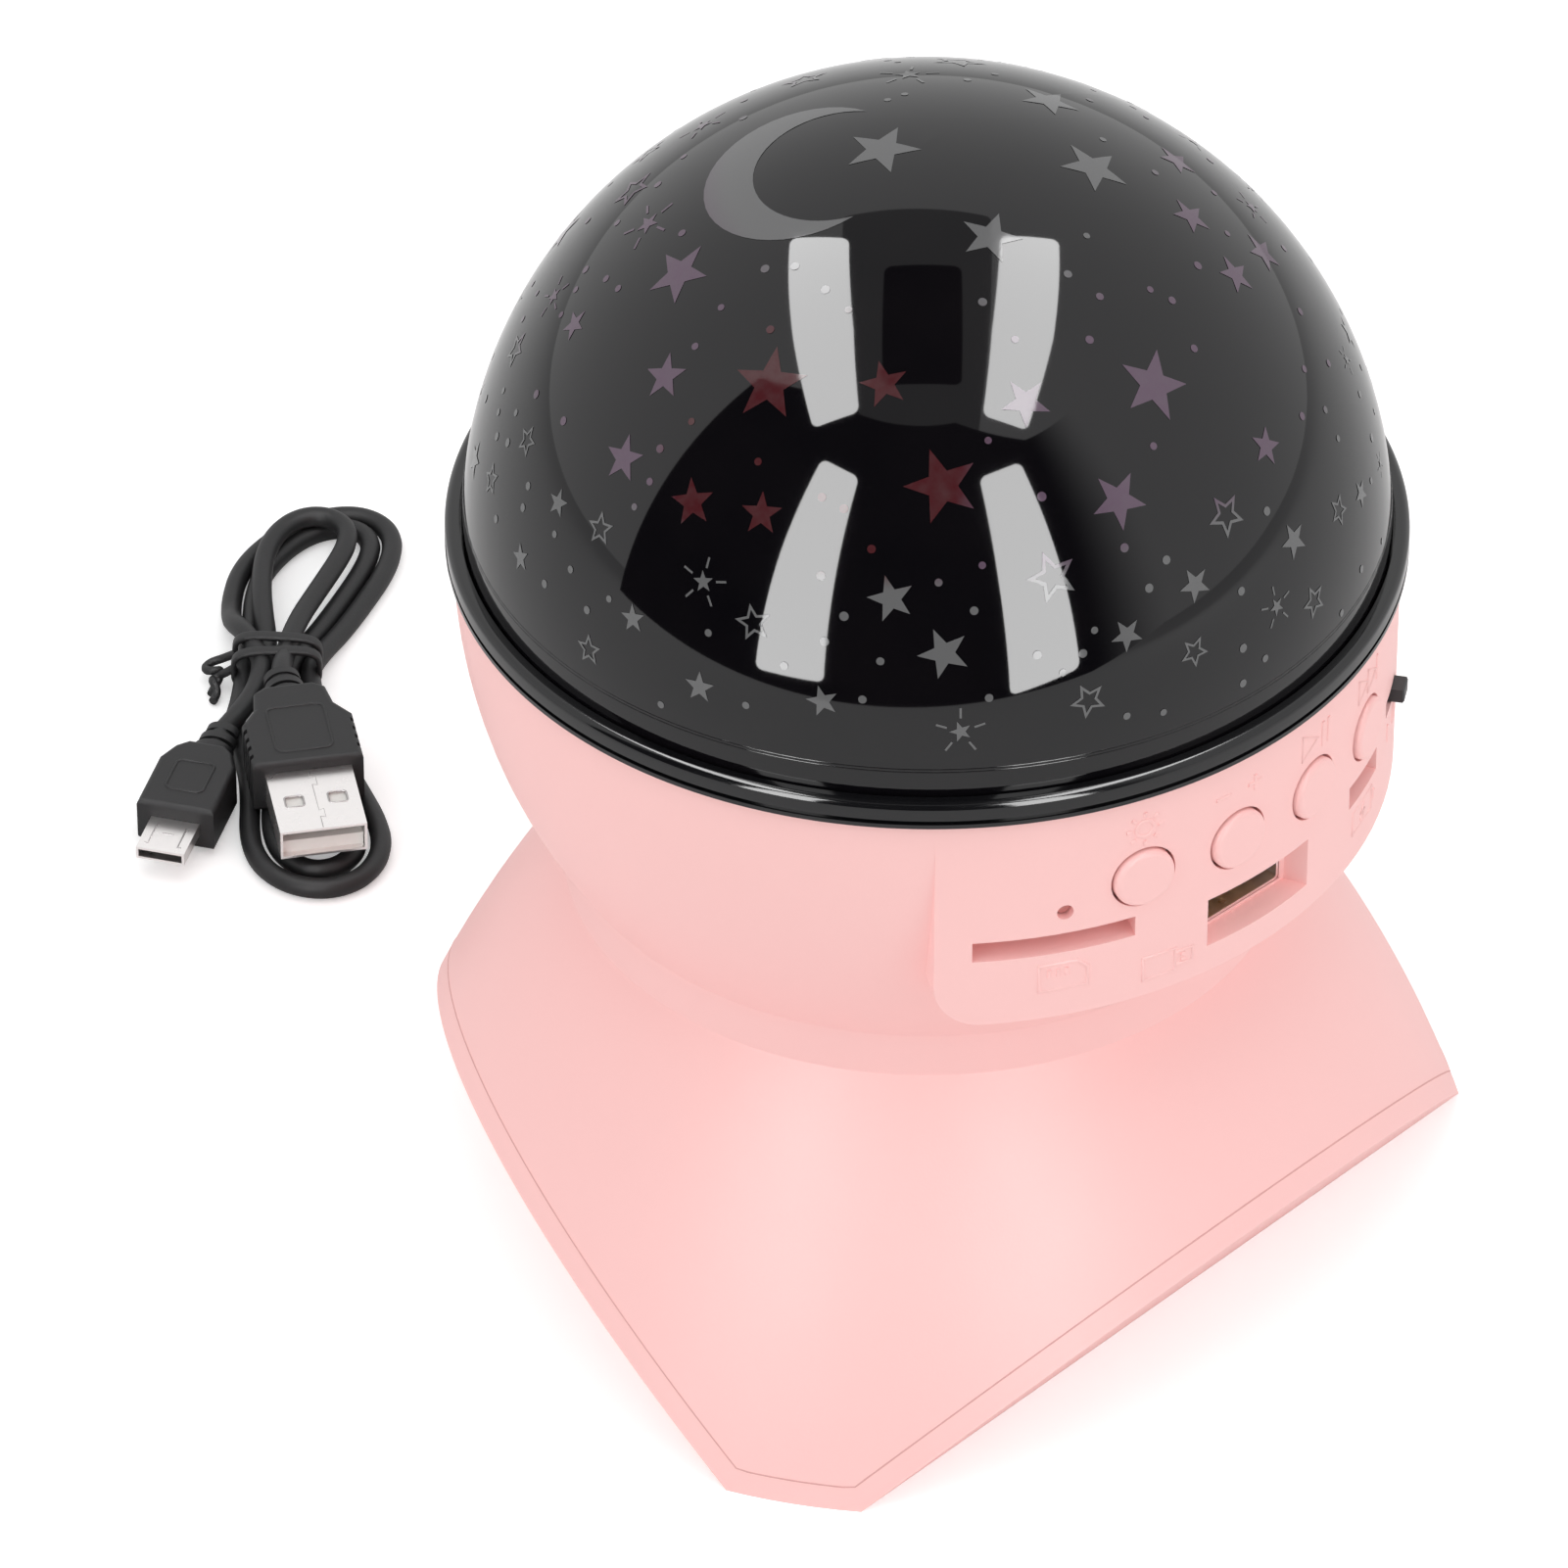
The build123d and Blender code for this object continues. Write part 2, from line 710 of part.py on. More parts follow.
# Half-spherical smoked shell with a short straight skirt.
with BuildPart() as dome_shell:
    with BuildSketch(Plane.XZ):
        for reach, mode in ((dome_radius, Mode.ADD), (dome_radius - dome_wall, Mode.SUBTRACT)):
            with BuildLine():
                Polyline(
                    (0, dome_centre_height + reach),
                    (0, channel_floor),
                    (reach, channel_floor),
                    (reach, dome_centre_height),
                )
                ThreePointArc(
                    (reach, dome_centre_height),
                    (reach * sin(radians(45)), dome_centre_height + reach * cos(radians(45))),
                    (0, dome_centre_height + reach),
                )
            make_face(mode=mode)
    revolve(axis=Axis.Z)
dome_shell.part.label = "dome_shell"
export_step(dome_shell.part, "parts/dome_shell.step")

# ---- Turntable drive ----------------------------------------------------------------------
# Internal ring gear under the trim ring: teeth above, a smooth track for the rollers below.
ring_tip = ring_pitch_radius - tooth_addendum * gear_module
ring_root = ring_pitch_radius + tooth_dedendum * gear_module
pinion_tip = pinion_pitch_radius + tooth_addendum * gear_module
pinion_root = pinion_pitch_radius - tooth_dedendum * gear_module
pinion_base = pinion_pitch_radius * cos(radians(pressure_angle))
ring_base = ring_pitch_radius * cos(radians(pressure_angle))


def involute(base, radius):
    """Polar angle, in radians, that an involute has swept when it reaches a radius."""
    swing = sqrt(max((radius / base) ** 2 - 1, 0))
    return swing - atan(swing)


def tooth_half_angle(teeth, base, radius):
    """Half the angle of an external tooth, in radians, at a radius."""
    pitch = gear_module * teeth / 2
    thinned = pi / (2 * teeth) - gear_backlash / 2 / (2 * pitch)
    return thinned + involute(base, pitch) - involute(base, radius)


def polar(radius, angle):
    """Point at a radius and an angle in radians from the local X axis."""
    return (radius * cos(angle), radius * sin(angle))


with BuildPart() as drive_gear:
    with BuildSketch(Plane.XY.offset(track_bottom)):
        Circle(gear_outer_radius)
        Circle(track_radius, mode=Mode.SUBTRACT)
    extrude(amount=track_height)
    with BuildSketch(Plane.XY.offset(gear_bottom)):
        Circle(gear_outer_radius)
        Circle(ring_root, mode=Mode.SUBTRACT)
        tip_half = 2 * pi / ring_teeth / 2 - tooth_half_angle(ring_teeth, ring_base, ring_tip)
        root_half = 2 * pi / ring_teeth / 2 - tooth_half_angle(ring_teeth, ring_base, ring_root)
        tip_half = tip_half - gear_backlash / 2 / ring_pitch_radius
        root_half = root_half - gear_backlash / 2 / ring_pitch_radius
        with PolarLocations(0, ring_teeth, start_angle=90 + 180 / ring_teeth):
            with BuildLine():
                Polyline(
                    polar(ring_tip, -tip_half),
                    polar(ring_root + tooth_root_sink, -root_half),
                    polar(ring_root + tooth_root_sink, root_half),
                    polar(ring_tip, tip_half),
                    close=True,
                )
            make_face()
    extrude(amount=gear_thickness)
drive_gear.part.label = "drive_gear"
export_step(drive_gear.part, "parts/drive_gear.step")

# Pinion in mesh at the back of the ring, with one tooth pointing straight outwards.
pinion_centre = (0, pinion_offset)
pinion_bottom = gear_bottom + running_clearance
pinion_thickness = gear_thickness - 2 * running_clearance
flank_middle = (pinion_base + pinion_tip) / 2

with BuildPart() as motor_pinion:
    with BuildSketch(Plane((0, pinion_offset, pinion_bottom), x_dir=(0, 1, 0))):
        Circle(pinion_root)
        with PolarLocations(0, pinion_teeth):
            with BuildLine():
                base_half = tooth_half_angle(pinion_teeth, pinion_base, pinion_base)
                middle_half = tooth_half_angle(pinion_teeth, pinion_base, flank_middle)
                end_half = tooth_half_angle(pinion_teeth, pinion_base, pinion_tip)
                Polyline(
                    polar(pinion_base, base_half),
                    polar(pinion_root - tooth_root_sink, base_half),
                    polar(pinion_root - tooth_root_sink, -base_half),
                    polar(pinion_base, -base_half),
                )
                ThreePointArc(
                    polar(pinion_base, -base_half),
                    polar(flank_middle, -middle_half),
                    polar(pinion_tip, -end_half),
                )
                Line(polar(pinion_tip, -end_half), polar(pinion_tip, end_half))
                ThreePointArc(
                    polar(pinion_tip, end_half),
                    polar(flank_middle, middle_half),
                    polar(pinion_base, base_half),
                )
            make_face()
        Circle(shaft_radius + press_clearance, mode=Mode.SUBTRACT)
    extrude(amount=pinion_thickness)
motor_pinion.part.label = "motor_pinion"
export_step(motor_pinion.part, "parts/motor_pinion.step")

# Output shaft, running in the motor's bore and carrying the pinion on its end.
with BuildPart() as motor_shaft:
    with BuildSketch(Plane.XY.offset(deck_height - shaft_depth)):
        with Locations(pinion_centre):
            Circle(shaft_radius)
    extrude(amount=pinion_bottom + pinion_thickness - deck_height + shaft_depth)
motor_shaft.part.label = "motor_shaft"
export_step(motor_shaft.part, "parts/motor_shaft.step")

# Round geared motor with two ears, screwed up against the underside of the deck.
with BuildPart() as motor:
    with BuildSketch(Plane.XY.offset(deck_height)):
        with Locations(pinion_centre):
            Circle(motor_radius)
            SlotCenterToCenter(motor_ear_spacing, 2 * screw_boss_radius)
        with Locations(pinion_centre):
            with GridLocations(motor_ear_spacing, 1, 2, 1):
                Circle(screw_radius + running_clearance, mode=Mode.SUBTRACT)
    extrude(amount=-motor_ear_thickness)
    with BuildSketch(Plane.XY.offset(deck_height)):
        with Locations(pinion_centre):
            Circle(motor_radius)
    extrude(amount=-motor_length)
    fillet(motor.edges().group_by(Axis.Z)[0], motor_fillet)
    with BuildSketch(Plane.XY.offset(deck_height)):
        with Locations(pinion_centre):
            Circle(shaft_radius + running_clearance)
    extrude(amount=-shaft_depth - turning_gap, mode=Mode.SUBTRACT)
motor.part.label = "motor"
export_step(motor.part, "parts/motor.step")

# Grooved guide rollers on plain pins, bearing on the track inside the ring gear.
for number, angle in enumerate(roller_angles, start=1):
    centre = Vector(roller_offset * cos(radians(angle)), roller_offset * sin(radians(angle)))
    with BuildPart() as guide_roller:
        with BuildSketch(Plane.XY.offset(roller_bottom)):
            with Locations(centre):
                Circle(roller_radius)
                Circle(roller_pin_radius + running_clearance, mode=Mode.SUBTRACT)
        extrude(amount=roller_thickness)
        rims = guide_roller.edges().filter_by(GeomType.CIRCLE)
        chamfer(rims.filter_by(lambda edge: edge.radius > roller_radius / 2), roller_chamfer)
    guide_roller.part.label = f"guide_roller_{number}"
    export_step(guide_roller.part, f"parts/guide_roller_{number}.step")

with BuildPart() as roller_pins:
    pin_top = roller_bottom + roller_thickness + running_clearance
    with BuildSketch(Plane.XY.offset(deck_height)):
        with PolarLocations(roller_offset, roller_count, start_angle=roller_angles[0]):
            Circle(roller_pin_radius)
    extrude(amount=pin_top - deck_height)
    with BuildSketch(Plane.XY.offset(pin_top)):
        with PolarLocations(roller_offset, roller_count, start_angle=roller_angles[0]):
            Circle(pin_head_radius)
    extrude(amount=pin_head_height)
roller_pins.part.label = "roller_pins"
export_step(roller_pins.part, "parts/roller_pins.step")

# ---- Deck ---------------------------------------------------------------------------------
# White round plate that closes the bowl, on four posts, with holes for pins, shaft and screws.
post_places = [(r * cos(radians(a)), r * sin(radians(a))) for r, a in deck_posts]
ear_places = [(motor_ear_spacing / 2 * side, pinion_offset) for side in (-1, 1)]

with BuildPart() as deck_plate:
    with BuildSketch(Plane.XY.offset(deck_height)):
        Circle(deck_radius)
        with Locations(*post_places, *ear_places):
            Circle(screw_radius + screw_clearance, mode=Mode.SUBTRACT)
        with Locations(pinion_centre):
            Circle(shaft_radius + shaft_hole_clearance, mode=Mode.SUBTRACT)
        with PolarLocations(roller_offset, roller_count, start_angle=roller_angles[0]):
            Circle(roller_pin_radius + press_clearance, mode=Mode.SUBTRACT)
        Circle(light_post_radius - light_post_wall, mode=Mode.SUBTRACT)
    extrude(amount=deck_thickness)
    # A short spacer under each roller keeps it clear of the deck.
    with BuildSketch(Plane.XY.offset(deck_top)):
        with PolarLocations(roller_offset, roller_count, start_angle=roller_angles[0]):
            Circle(pin_head_radius)
            Circle(roller_pin_radius + press_clearance, mode=Mode.SUBTRACT)
    extrude(amount=turning_gap - running_clearance)
deck_plate.part.label = "deck_plate"
export_step(deck_plate.part, "parts/deck_plate.step")

with BuildPart() as deck_screws:
    with BuildSketch(Plane.XY.offset(deck_top)):
        with Locations(*post_places):
            Circle(screw_head_radius)
    extrude(amount=screw_head_height)
    with BuildSketch(Plane.XY.offset(deck_top)):
        with Locations(*post_places):
            Circle(screw_radius)
    extrude(amount=-deck_thickness - deck_screw_grip)
deck_screws.part.label = "deck_screws"
export_step(deck_screws.part, "parts/deck_screws.step")

with BuildPart() as motor_screws:
    with BuildSketch(Plane.XY.offset(deck_top)):
        with Locations(*ear_places):
            Circle(screw_head_radius)
    extrude(amount=motor_screw_head_height)
    with BuildSketch(Plane.XY.offset(deck_top)):
        with Locations(*ear_places):
            Circle(screw_radius)
    extrude(amount=-deck_thickness - motor_ear_thickness)
motor_screws.part.label = "motor_screws"
export_step(motor_screws.part, "parts/motor_screws.step")

# Hollow post at the centre, with a foot on the deck, carrying the light board.
with BuildPart() as light_post:
    with BuildSketch(Plane.XZ):
        with BuildLine():
            Polyline(
                (light_post_radius - light_post_wall, deck_top),
                (light_post_radius + light_post_foot, deck_top),
                (light_post_radius + light_post_foot, deck_top + light_post_foot / 2),
                (light_post_radius, deck_top + light_post_foot * 1.5),
                (light_post_radius, light_top),
                (light_post_radius - light_post_wall, light_top),
                close=True,
            )
        make_face()
    revolve(axis=Axis.Z)
light_post.part.label = "light_post"
export_step(light_post.part, "parts/light_post.step")

board_top = light_top + light_board_thickness
with BuildPart() as light_board:
    with BuildSketch(Plane.XY.offset(light_top)):
        Circle(light_board_radius)
        Circle(lead_hole_radius, mode=Mode.SUBTRACT)
    extrude(amount=light_board_thickness)
light_board.part.label = "light_board"
export_step(light_board.part, "parts/light_board.step")

with BuildPart() as led_lamps:
    with BuildSketch(Plane.XY.offset(board_top)):
        with PolarLocations(led_circle_radius, led_count, start_angle=90):
            Circle(led_radius)
    extrude(amount=led_height)
    fillet(led_lamps.edges().group_by(Axis.Z)[-1], led_radius * 0.8)
led_lamps.part.label = "led_lamps"
export_step(led_lamps.part, "parts/led_lamps.step")

# Frosted cap over the lamps, standing on the light board.
with BuildPart() as light_diffuser:
    with BuildSketch(Plane.XY.offset(board_top)):
        Circle(light_board_radius - diffuser_inset)
    extrude(amount=diffuser_height)
    fillet(light_diffuser.edges().group_by(Axis.Z)[-1], diffuser_fillet)
    offset(amount=-diffuser_wall, openings=light_diffuser.faces().sort_by(Axis.Z)[0])
light_diffuser.part.label = "light_diffuser"
export_step(light_diffuser.part, "parts/light_diffuser.step")

# ---- Panel keys ---------------------------------------------------------------------------
# Round caps with a domed front, a flange behind the wall, and a stem onto a small switch.
flange_front = sqrt((bowl_radius - housing_wall) ** 2 - key_flange_radius**2) - turning_gap
stem_end = flange_front - key_flange_depth - key_stem_length
tact_front = stem_end - plunger_gap

for name, angle in zip(key_names, key_angles):
    with BuildPart() as key_cap:
        with BuildSketch(panel_plane(angle, key_height, flange_front)):
            Circle(key_cap_radius)
        extrude(amount=bowl_radius + key_proud - flange_front)
        front = panel_plane(angle, key_height, bowl_radius).z_dir
        fillet(key_cap.edges().sort_by(Axis((0, 0, 0), front))[-1], key_fillet)
        with BuildSketch(panel_plane(angle, key_height, flange_front)):
            Circle(key_flange_radius)
        extrude(amount=-key_flange_depth)
        with BuildSketch(panel_plane(angle, key_height, flange_front - key_flange_depth)):
            Circle(key_stem_radius)
        extrude(amount=-key_stem_length)
    key_cap.part.label = f"{name}_button"
    export_step(key_cap.part, f"parts/{name}_button.step")
    with BuildPart() as plunger:
        with BuildSketch(panel_plane(angle, key_height, stem_end)):
            Circle(tact_plunger_radius)
        extrude(amount=-plunger_gap - plunger_engagement)
    plunger.part.label = f"{name}_plunger"
    export_step(plunger.part, f"parts/{name}_plunger.step")

with BuildPart() as tact_switches:
    for angle in key_angles:
        with BuildSketch(panel_plane(angle, key_height, tact_front)):
            Rectangle(tact_body, tact_body)
        extrude(amount=-tact_depth)
        with BuildSketch(panel_plane(angle, key_height, tact_front)):
            Circle(tact_plunger_radius + running_clearance)
        plunger_room = plunger_engagement + key_travel + socket_clearance
        extrude(amount=-plunger_room, mode=Mode.SUBTRACT)
tact_switches.part.label = "tact_switches"
export_step(tact_switches.part, "parts/tact_switches.step")

# Board under the four switches, an arc that follows the panel, on two spacers.
key_board_top = key_height - tact_body / 2
spacer_circle = key_board_inner_radius + spacer_edge_distance
spacer_x = spacer_circle * sin(radians(spacer_angle))
spacer_y = -spacer_circle * cos(radians(spacer_angle))
spacer_places = [(-spacer_x, spacer_y), (spacer_x, spacer_y)]

with BuildPart() as key_board:
    with BuildSketch(Plane.XY.offset(key_board_top)):
        Circle(key_board_outer_radius)
        Circle(key_board_inner_radius, mode=Mode.SUBTRACT)
        with BuildLine():
            reach = 2 * key_board_outer_radius
            half = radians(key_board_half_angle)
            Polyline(
                (0, 0),
                (-reach * sin(half), -reach * cos(half)),
                (reach * sin(half), -reach * cos(half)),
                close=True,
            )
        make_face(mode=Mode.INTERSECT)
    extrude(amount=-board_thickness)
key_board.part.label = "key_board"
export_step(key_board.part, "parts/key_board.step")

with BuildPart() as board_spacers:
    with BuildSketch(Plane.XY.offset(main_board_top)):
        with Locations(*spacer_places):
            RegularPolygon(spacer_radius, 6)
    extrude(amount=key_board_top - board_thickness - main_board_top)
board_spacers.part.label = "board_spacers"
export_step(board_spacers.part, "parts/board_spacers.step")

# ---- Main board and sockets ---------------------------------------------------------------
# D-shaped board behind the panel, notched for the sunk USB socket.
with BuildPart() as main_board:
    with BuildSketch(Plane.XY.offset(main_board_top)):
        Circle(main_board_radius)
        with Locations((0, -main_board_back)):
            Rectangle(
                2 * main_board_radius,
                main_board_radius,
                align=(Align.CENTER, Align.MAX),
                mode=Mode.INTERSECT,
            )
        with Locations(*board_posts):
            Circle(screw_radius + screw_clearance, mode=Mode.SUBTRACT)
        with Locations(Location((0, 0), usb_angle)):
            with Locations((0, -socket_floor_distance + usb_shell_depth + part_clearance)):
                Rectangle(
                    usb_shell_width + 2 * part_clearance,
                    usb_shell_depth,
                    align=(Align.CENTER, Align.MAX),
                    mode=Mode.SUBTRACT,
                )
    extrude(amount=-board_thickness)
main_board.part.label = "main_board"
export_step(main_board.part, "parts/main_board.step")

with BuildPart() as board_screws:
    with BuildSketch(Plane.XY.offset(main_board_top)):
        with Locations(*board_posts):
            Circle(screw_head_radius)
    extrude(amount=screw_head_height)
    with BuildSketch(Plane.XY.offset(main_board_top)):
        with Locations(*board_posts):
            Circle(screw_radius)
    extrude(amount=-board_thickness - board_screw_grip)
board_screws.part.label = "board_screws"
export_step(board_screws.part, "parts/board_screws.step")

# USB socket: a folded steel shell with side tabs on the board, its tongue and four contacts.
usb_back = socket_floor_distance - usb_shell_depth
with BuildPart() as usb_socket_shell:
    with BuildSketch(panel_plane(usb_angle, usb_height, usb_back)):
        RectangleRounded(usb_shell_width, usb_shell_height, usb_shell_corner)
    extrude(amount=usb_shell_depth)
    with BuildSketch(panel_plane(usb_angle, usb_height, usb_back + shell_sheet)):
        RectangleRounded(
            usb_shell_width - 2 * shell_sheet,
            usb_shell_height - 2 * shell_sheet,
            usb_shell_corner - shell_sheet,
        )
    extrude(amount=usb_shell_depth, mode=Mode.SUBTRACT)
    tab_reach = usb_shell_width / 2 + usb_tab_width / 2 - shell_sheet / 2
    tab_rise = main_board_top - usb_height + shell_sheet / 2
    with BuildSketch(panel_plane(usb_angle, usb_height, usb_back + usb_tab_back)):
        with Locations((-tab_reach, tab_rise), (tab_reach, tab_rise)):
            Rectangle(usb_tab_width, shell_sheet)
    extrude(amount=usb_tab_length)
usb_socket_shell.part.label = "usb_socket_shell"
export_step(usb_socket_shell.part, "parts/usb_socket_shell.step")

tongue_back = usb_back + shell_sheet
tongue_length = usb_shell_depth - shell_sheet - cut_spare
with BuildPart() as usb_socket_tongue:
    with BuildSketch(panel_plane(usb_angle, usb_height, tongue_back)):
        with Locations((0, usb_tongue_rise)):
            Rectangle(usb_tongue_width, usb_tongue_thickness)
    extrude(amount=tongue_length)
    with BuildSketch(panel_plane(usb_angle, usb_height, tongue_back)):
        Rectangle(usb_shell_width - 4 * shell_sheet, usb_shell_height - 4 * shell_sheet)
    extrude(amount=usb_block_depth)
usb_socket_tongue.part.label = "usb_socket_tongue"
export_step(usb_socket_tongue.part, "parts/usb_socket_tongue.step")

with BuildPart() as usb_contacts:
    contact_rise = usb_tongue_rise - usb_tongue_thickness / 2 - usb_contact_thickness / 2
    with BuildSketch(panel_plane(usb_angle, usb_height, tongue_back + usb_block_depth)):
        with Locations((0, contact_rise)):
            with GridLocations(usb_contact_pitch, 1, usb_contact_count, 1):
                Rectangle(usb_contact_width, usb_contact_thickness)
    extrude(amount=tongue_length - usb_block_depth - cut_spare)
usb_contacts.part.label = "usb_contacts"
export_step(usb_contacts.part, "parts/usb_contacts.step")

# Micro-USB charging socket, one stamped shell with its tongue.
micro_back = socket_floor_distance - micro_shell_depth
micro_base = main_board_top + micro_shell_height / 2
with BuildPart() as micro_usb_socket:
    for inset, start, mode in ((0, 0, Mode.ADD), (shell_sheet, micro_back_wall, Mode.SUBTRACT)):
        half = micro_shell_width / 2 - inset
        rise = micro_shell_height / 2 - inset
        with BuildSketch(panel_plane(micro_angle, micro_base, micro_back + start)):
            with BuildLine():
                Polyline(
                    (-half, rise),
                    (half, rise),
                    (half, 0),
                    (half - rise * 0.8, -rise),
                    (-half + rise * 0.8, -rise),
                    (-half, 0),
                    close=True,
                )
            make_face()
        extrude(amount=micro_shell_depth - start, mode=mode)
    with BuildSketch(panel_plane(micro_angle, micro_base, micro_back)):
        Rectangle(micro_tongue_width, micro_tongue_thickness)
    extrude(amount=micro_shell_depth - cut_spare)
micro_usb_socket.part.label = "micro_usb_socket"
export_step(micro_usb_socket.part, "parts/micro_usb_socket.step")

# Card reader on the board, behind the slot's window.
reader_front = sleeve_inner_distance - 2 * part_clearance
reader_middle = main_board_top + reader_thickness / 2
with BuildPart() as card_reader:
    with BuildSketch(panel_plane(card_angle, reader_middle, reader_front)):
        Rectangle(reader_width, reader_thickness)
    extrude(amount=-reader_depth)
    with BuildSketch(panel_plane(card_angle, card_height, reader_front)):
        Rectangle(reader_slit_width, reader_slit_height)
    extrude(amount=-reader_depth + reader_back_wall, mode=Mode.SUBTRACT)
card_reader.part.label = "card_reader"
export_step(card_reader.part, "parts/card_reader.step")

# Frosted light pipe behind the small indicator hole.
pipe_seat = bowl_radius - housing_wall - socket_clearance
with BuildPart() as light_pipe:
    with BuildSketch(panel_plane(indicator_angle, indicator_height, pipe_seat)):
        Circle(indicator_radius - part_clearance)
    extrude(amount=housing_wall - pipe_recess)
    with BuildSketch(panel_plane(indicator_angle, indicator_height, pipe_seat)):
        Circle(pipe_flange_radius)
    extrude(amount=-pipe_flange_thickness)
light_pipe.part.label = "light_pipe"
export_step(light_pipe.part, "parts/light_pipe.step")

# Slide switch: a body on its shelf and a black nub that slides along the slot.
flange_reach = switch_flange_length / 2 + switch_travel / 2
flange_seat = sqrt((bowl_radius - housing_wall) ** 2 - flange_reach**2) - turning_gap
flange_back = flange_seat - switch_flange_thickness
with BuildPart() as slide_switch_body:
    with BuildSketch(panel_plane(switch_angle, switch_height, flange_back - running_clearance)):
        Rectangle(switch_body_length, switch_body_height)
    extrude(amount=-switch_body_depth)
slide_switch_body.part.label = "slide_switch_body"
export_step(slide_switch_body.part, "parts/slide_switch_body.step")

with BuildPart() as switch_knob:
    with BuildSketch(panel_plane(switch_angle, switch_height, flange_back)):
        with Locations((switch_travel / 2, 0)):
            Rectangle(switch_flange_length, switch_body_height)
    extrude(amount=switch_flange_thickness)
    with BuildSketch(panel_plane(switch_angle, switch_height, flange_seat)):
        with Locations((switch_travel / 2, 0)):
            Rectangle(switch_nub_length, switch_nub_height)
    extrude(amount=bowl_radius + switch_nub_proud - flange_seat)
    nub_front = panel_plane(switch_angle, switch_height, bowl_radius).z_dir
    nub_face = switch_knob.faces().sort_by(Axis((0, 0, 0), nub_front))[-1]
    chamfer(nub_face.edges(), switch_nub_chamfer)
switch_knob.part.label = "switch_knob"
export_step(switch_knob.part, "parts/switch_knob.step")

# ---- Speaker ------------------------------------------------------------------------------
# Faces down onto the grille through a foam gasket.
gasket_top = cover_thickness + gasket_thickness
flange_top = gasket_top + speaker_flange
basket_top = gasket_top + basket_height + speaker_flange
cone_edge = speaker_radius - gasket_width
cone_rim = cone_edge - socket_clearance
speaker_plane = Plane((0, -speaker_offset, 0), x_dir=(1, 0, 0), z_dir=(0, -1, 0))
speaker_axis = Axis((0, -speaker_offset, 0), (0, 0, 1))

with BuildPart() as speaker_gasket:
    with BuildSketch(Plane.XY.offset(cover_thickness)):
        with Locations((0, -speaker_offset)):
            Circle(speaker_radius)
            Circle(cone_edge, mode=Mode.SUBTRACT)
    extrude(amount=gasket_thickness)
speaker_gasket.part.label = "speaker_gasket"
export_step(speaker_gasket.part, "parts/speaker_gasket.step")

with BuildPart() as speaker_frame:
    with BuildSketch(speaker_plane):
        with BuildLine():
            Polyline(
                (cone_edge, gasket_top),
                (speaker_radius, gasket_top),
                (speaker_radius, flange_top),
                (cone_edge + basket_sheet, flange_top),
                (magnet_radius, basket_top),
                (0, basket_top),
                (0, basket_top - basket_sheet),
                (magnet_radius - 1.5 * basket_sheet, basket_top - basket_sheet),
                (cone_edge, flange_top),
                close=True,
            )
        make_face()
    revolve(axis=speaker_axis)
speaker_frame.part.label = "speaker_frame"
export_step(speaker_frame.part, "parts/speaker_frame.step")

with BuildPart() as speaker_cone:
    with BuildSketch(speaker_plane):
        with BuildLine():
            Polyline(
                (cone_rim, gasket_top),
                (cone_rim, gasket_top + cone_thickness),
                (magnet_radius / 2, basket_top - cone_drop + cone_thickness),
                (0, basket_top - dust_cap_drop + cone_thickness),
                (0, basket_top - dust_cap_drop),
                (magnet_radius / 2, basket_top - cone_drop),
                close=True,
            )
        make_face()
    revolve(axis=speaker_axis)
speaker_cone.part.label = "speaker_cone"
export_step(speaker_cone.part, "parts/speaker_cone.step")

with BuildPart() as speaker_magnet:
    with BuildSketch(Plane.XY.offset(basket_top)):
        with Locations((0, -speaker_offset)):
            Circle(magnet_radius)
    extrude(amount=magnet_height)
    chamfer(speaker_magnet.edges().group_by(Axis.Z)[-1], magnet_chamfer)
speaker_magnet.part.label = "speaker_magnet"
export_step(speaker_magnet.part, "parts/speaker_magnet.step")

# ---- Battery ------------------------------------------------------------------------------
cell_axis_height = cover_thickness + cradle_floor + cell_radius + part_clearance
cradle_length = cell_length + 2 * (cradle_end + part_clearance)
cell_plane = Plane((0, cell_offset, cell_axis_height), x_dir=(0, 1, 0), z_dir=(1, 0, 0))

with BuildPart() as battery_cradle:
    with BuildSketch(Plane.XY.offset(cover_thickness)):
        with Locations((0, cell_offset)):
            Rectangle(cradle_length, 2 * (cell_radius + cradle_wall))
    extrude(amount=cradle_height)
    with BuildSketch(cell_plane.offset(-cell_length / 2 - part_clearance)):
        Circle(cell_radius + part_clearance)
    extrude(amount=cell_length + 2 * part_clearance, mode=Mode.SUBTRACT)
battery_cradle.part.label = "battery_cradle"
export_step(battery_cradle.part, "parts/battery_cradle.step")

with BuildPart() as battery_cell:
    with BuildSketch(cell_plane.offset(-cell_length / 2)):
        Circle(cell_radius)
    extrude(amount=cell_length)
    chamfer(battery_cell.edges(), cell_chamfer)
battery_cell.part.label = "battery_cell"
export_step(battery_cell.part, "parts/battery_cell.step")

# ---- Charging cable -----------------------------------------------------------------------
# A tied hank of cord on the floor, with a USB plug lying on it and a micro-USB plug beside it.
cable_turn = radians(hank_turn)
cable_plane = Plane(
    (hank_right, hank_back, 0), x_dir=(cos(cable_turn), sin(cable_turn), 0), z_dir=(0, 0, 1)
)
waist_top = tie_thickness + 2 * cord_diameter
waist_length = waist_back - waist_front
waist_middle = (waist_back + waist_front) / 2


def plug_plane(place, height, heading):
    """Plane of a plug lying flat, from the start of its strain relief, X towards its tip."""
    start = cable_plane.from_local_coords(Vector(place[0], place[1], height))
    turn = radians(hank_turn + heading)
    return Plane(start, x_dir=(cos(turn), sin(turn), 0), z_dir=(0, 0, 1))


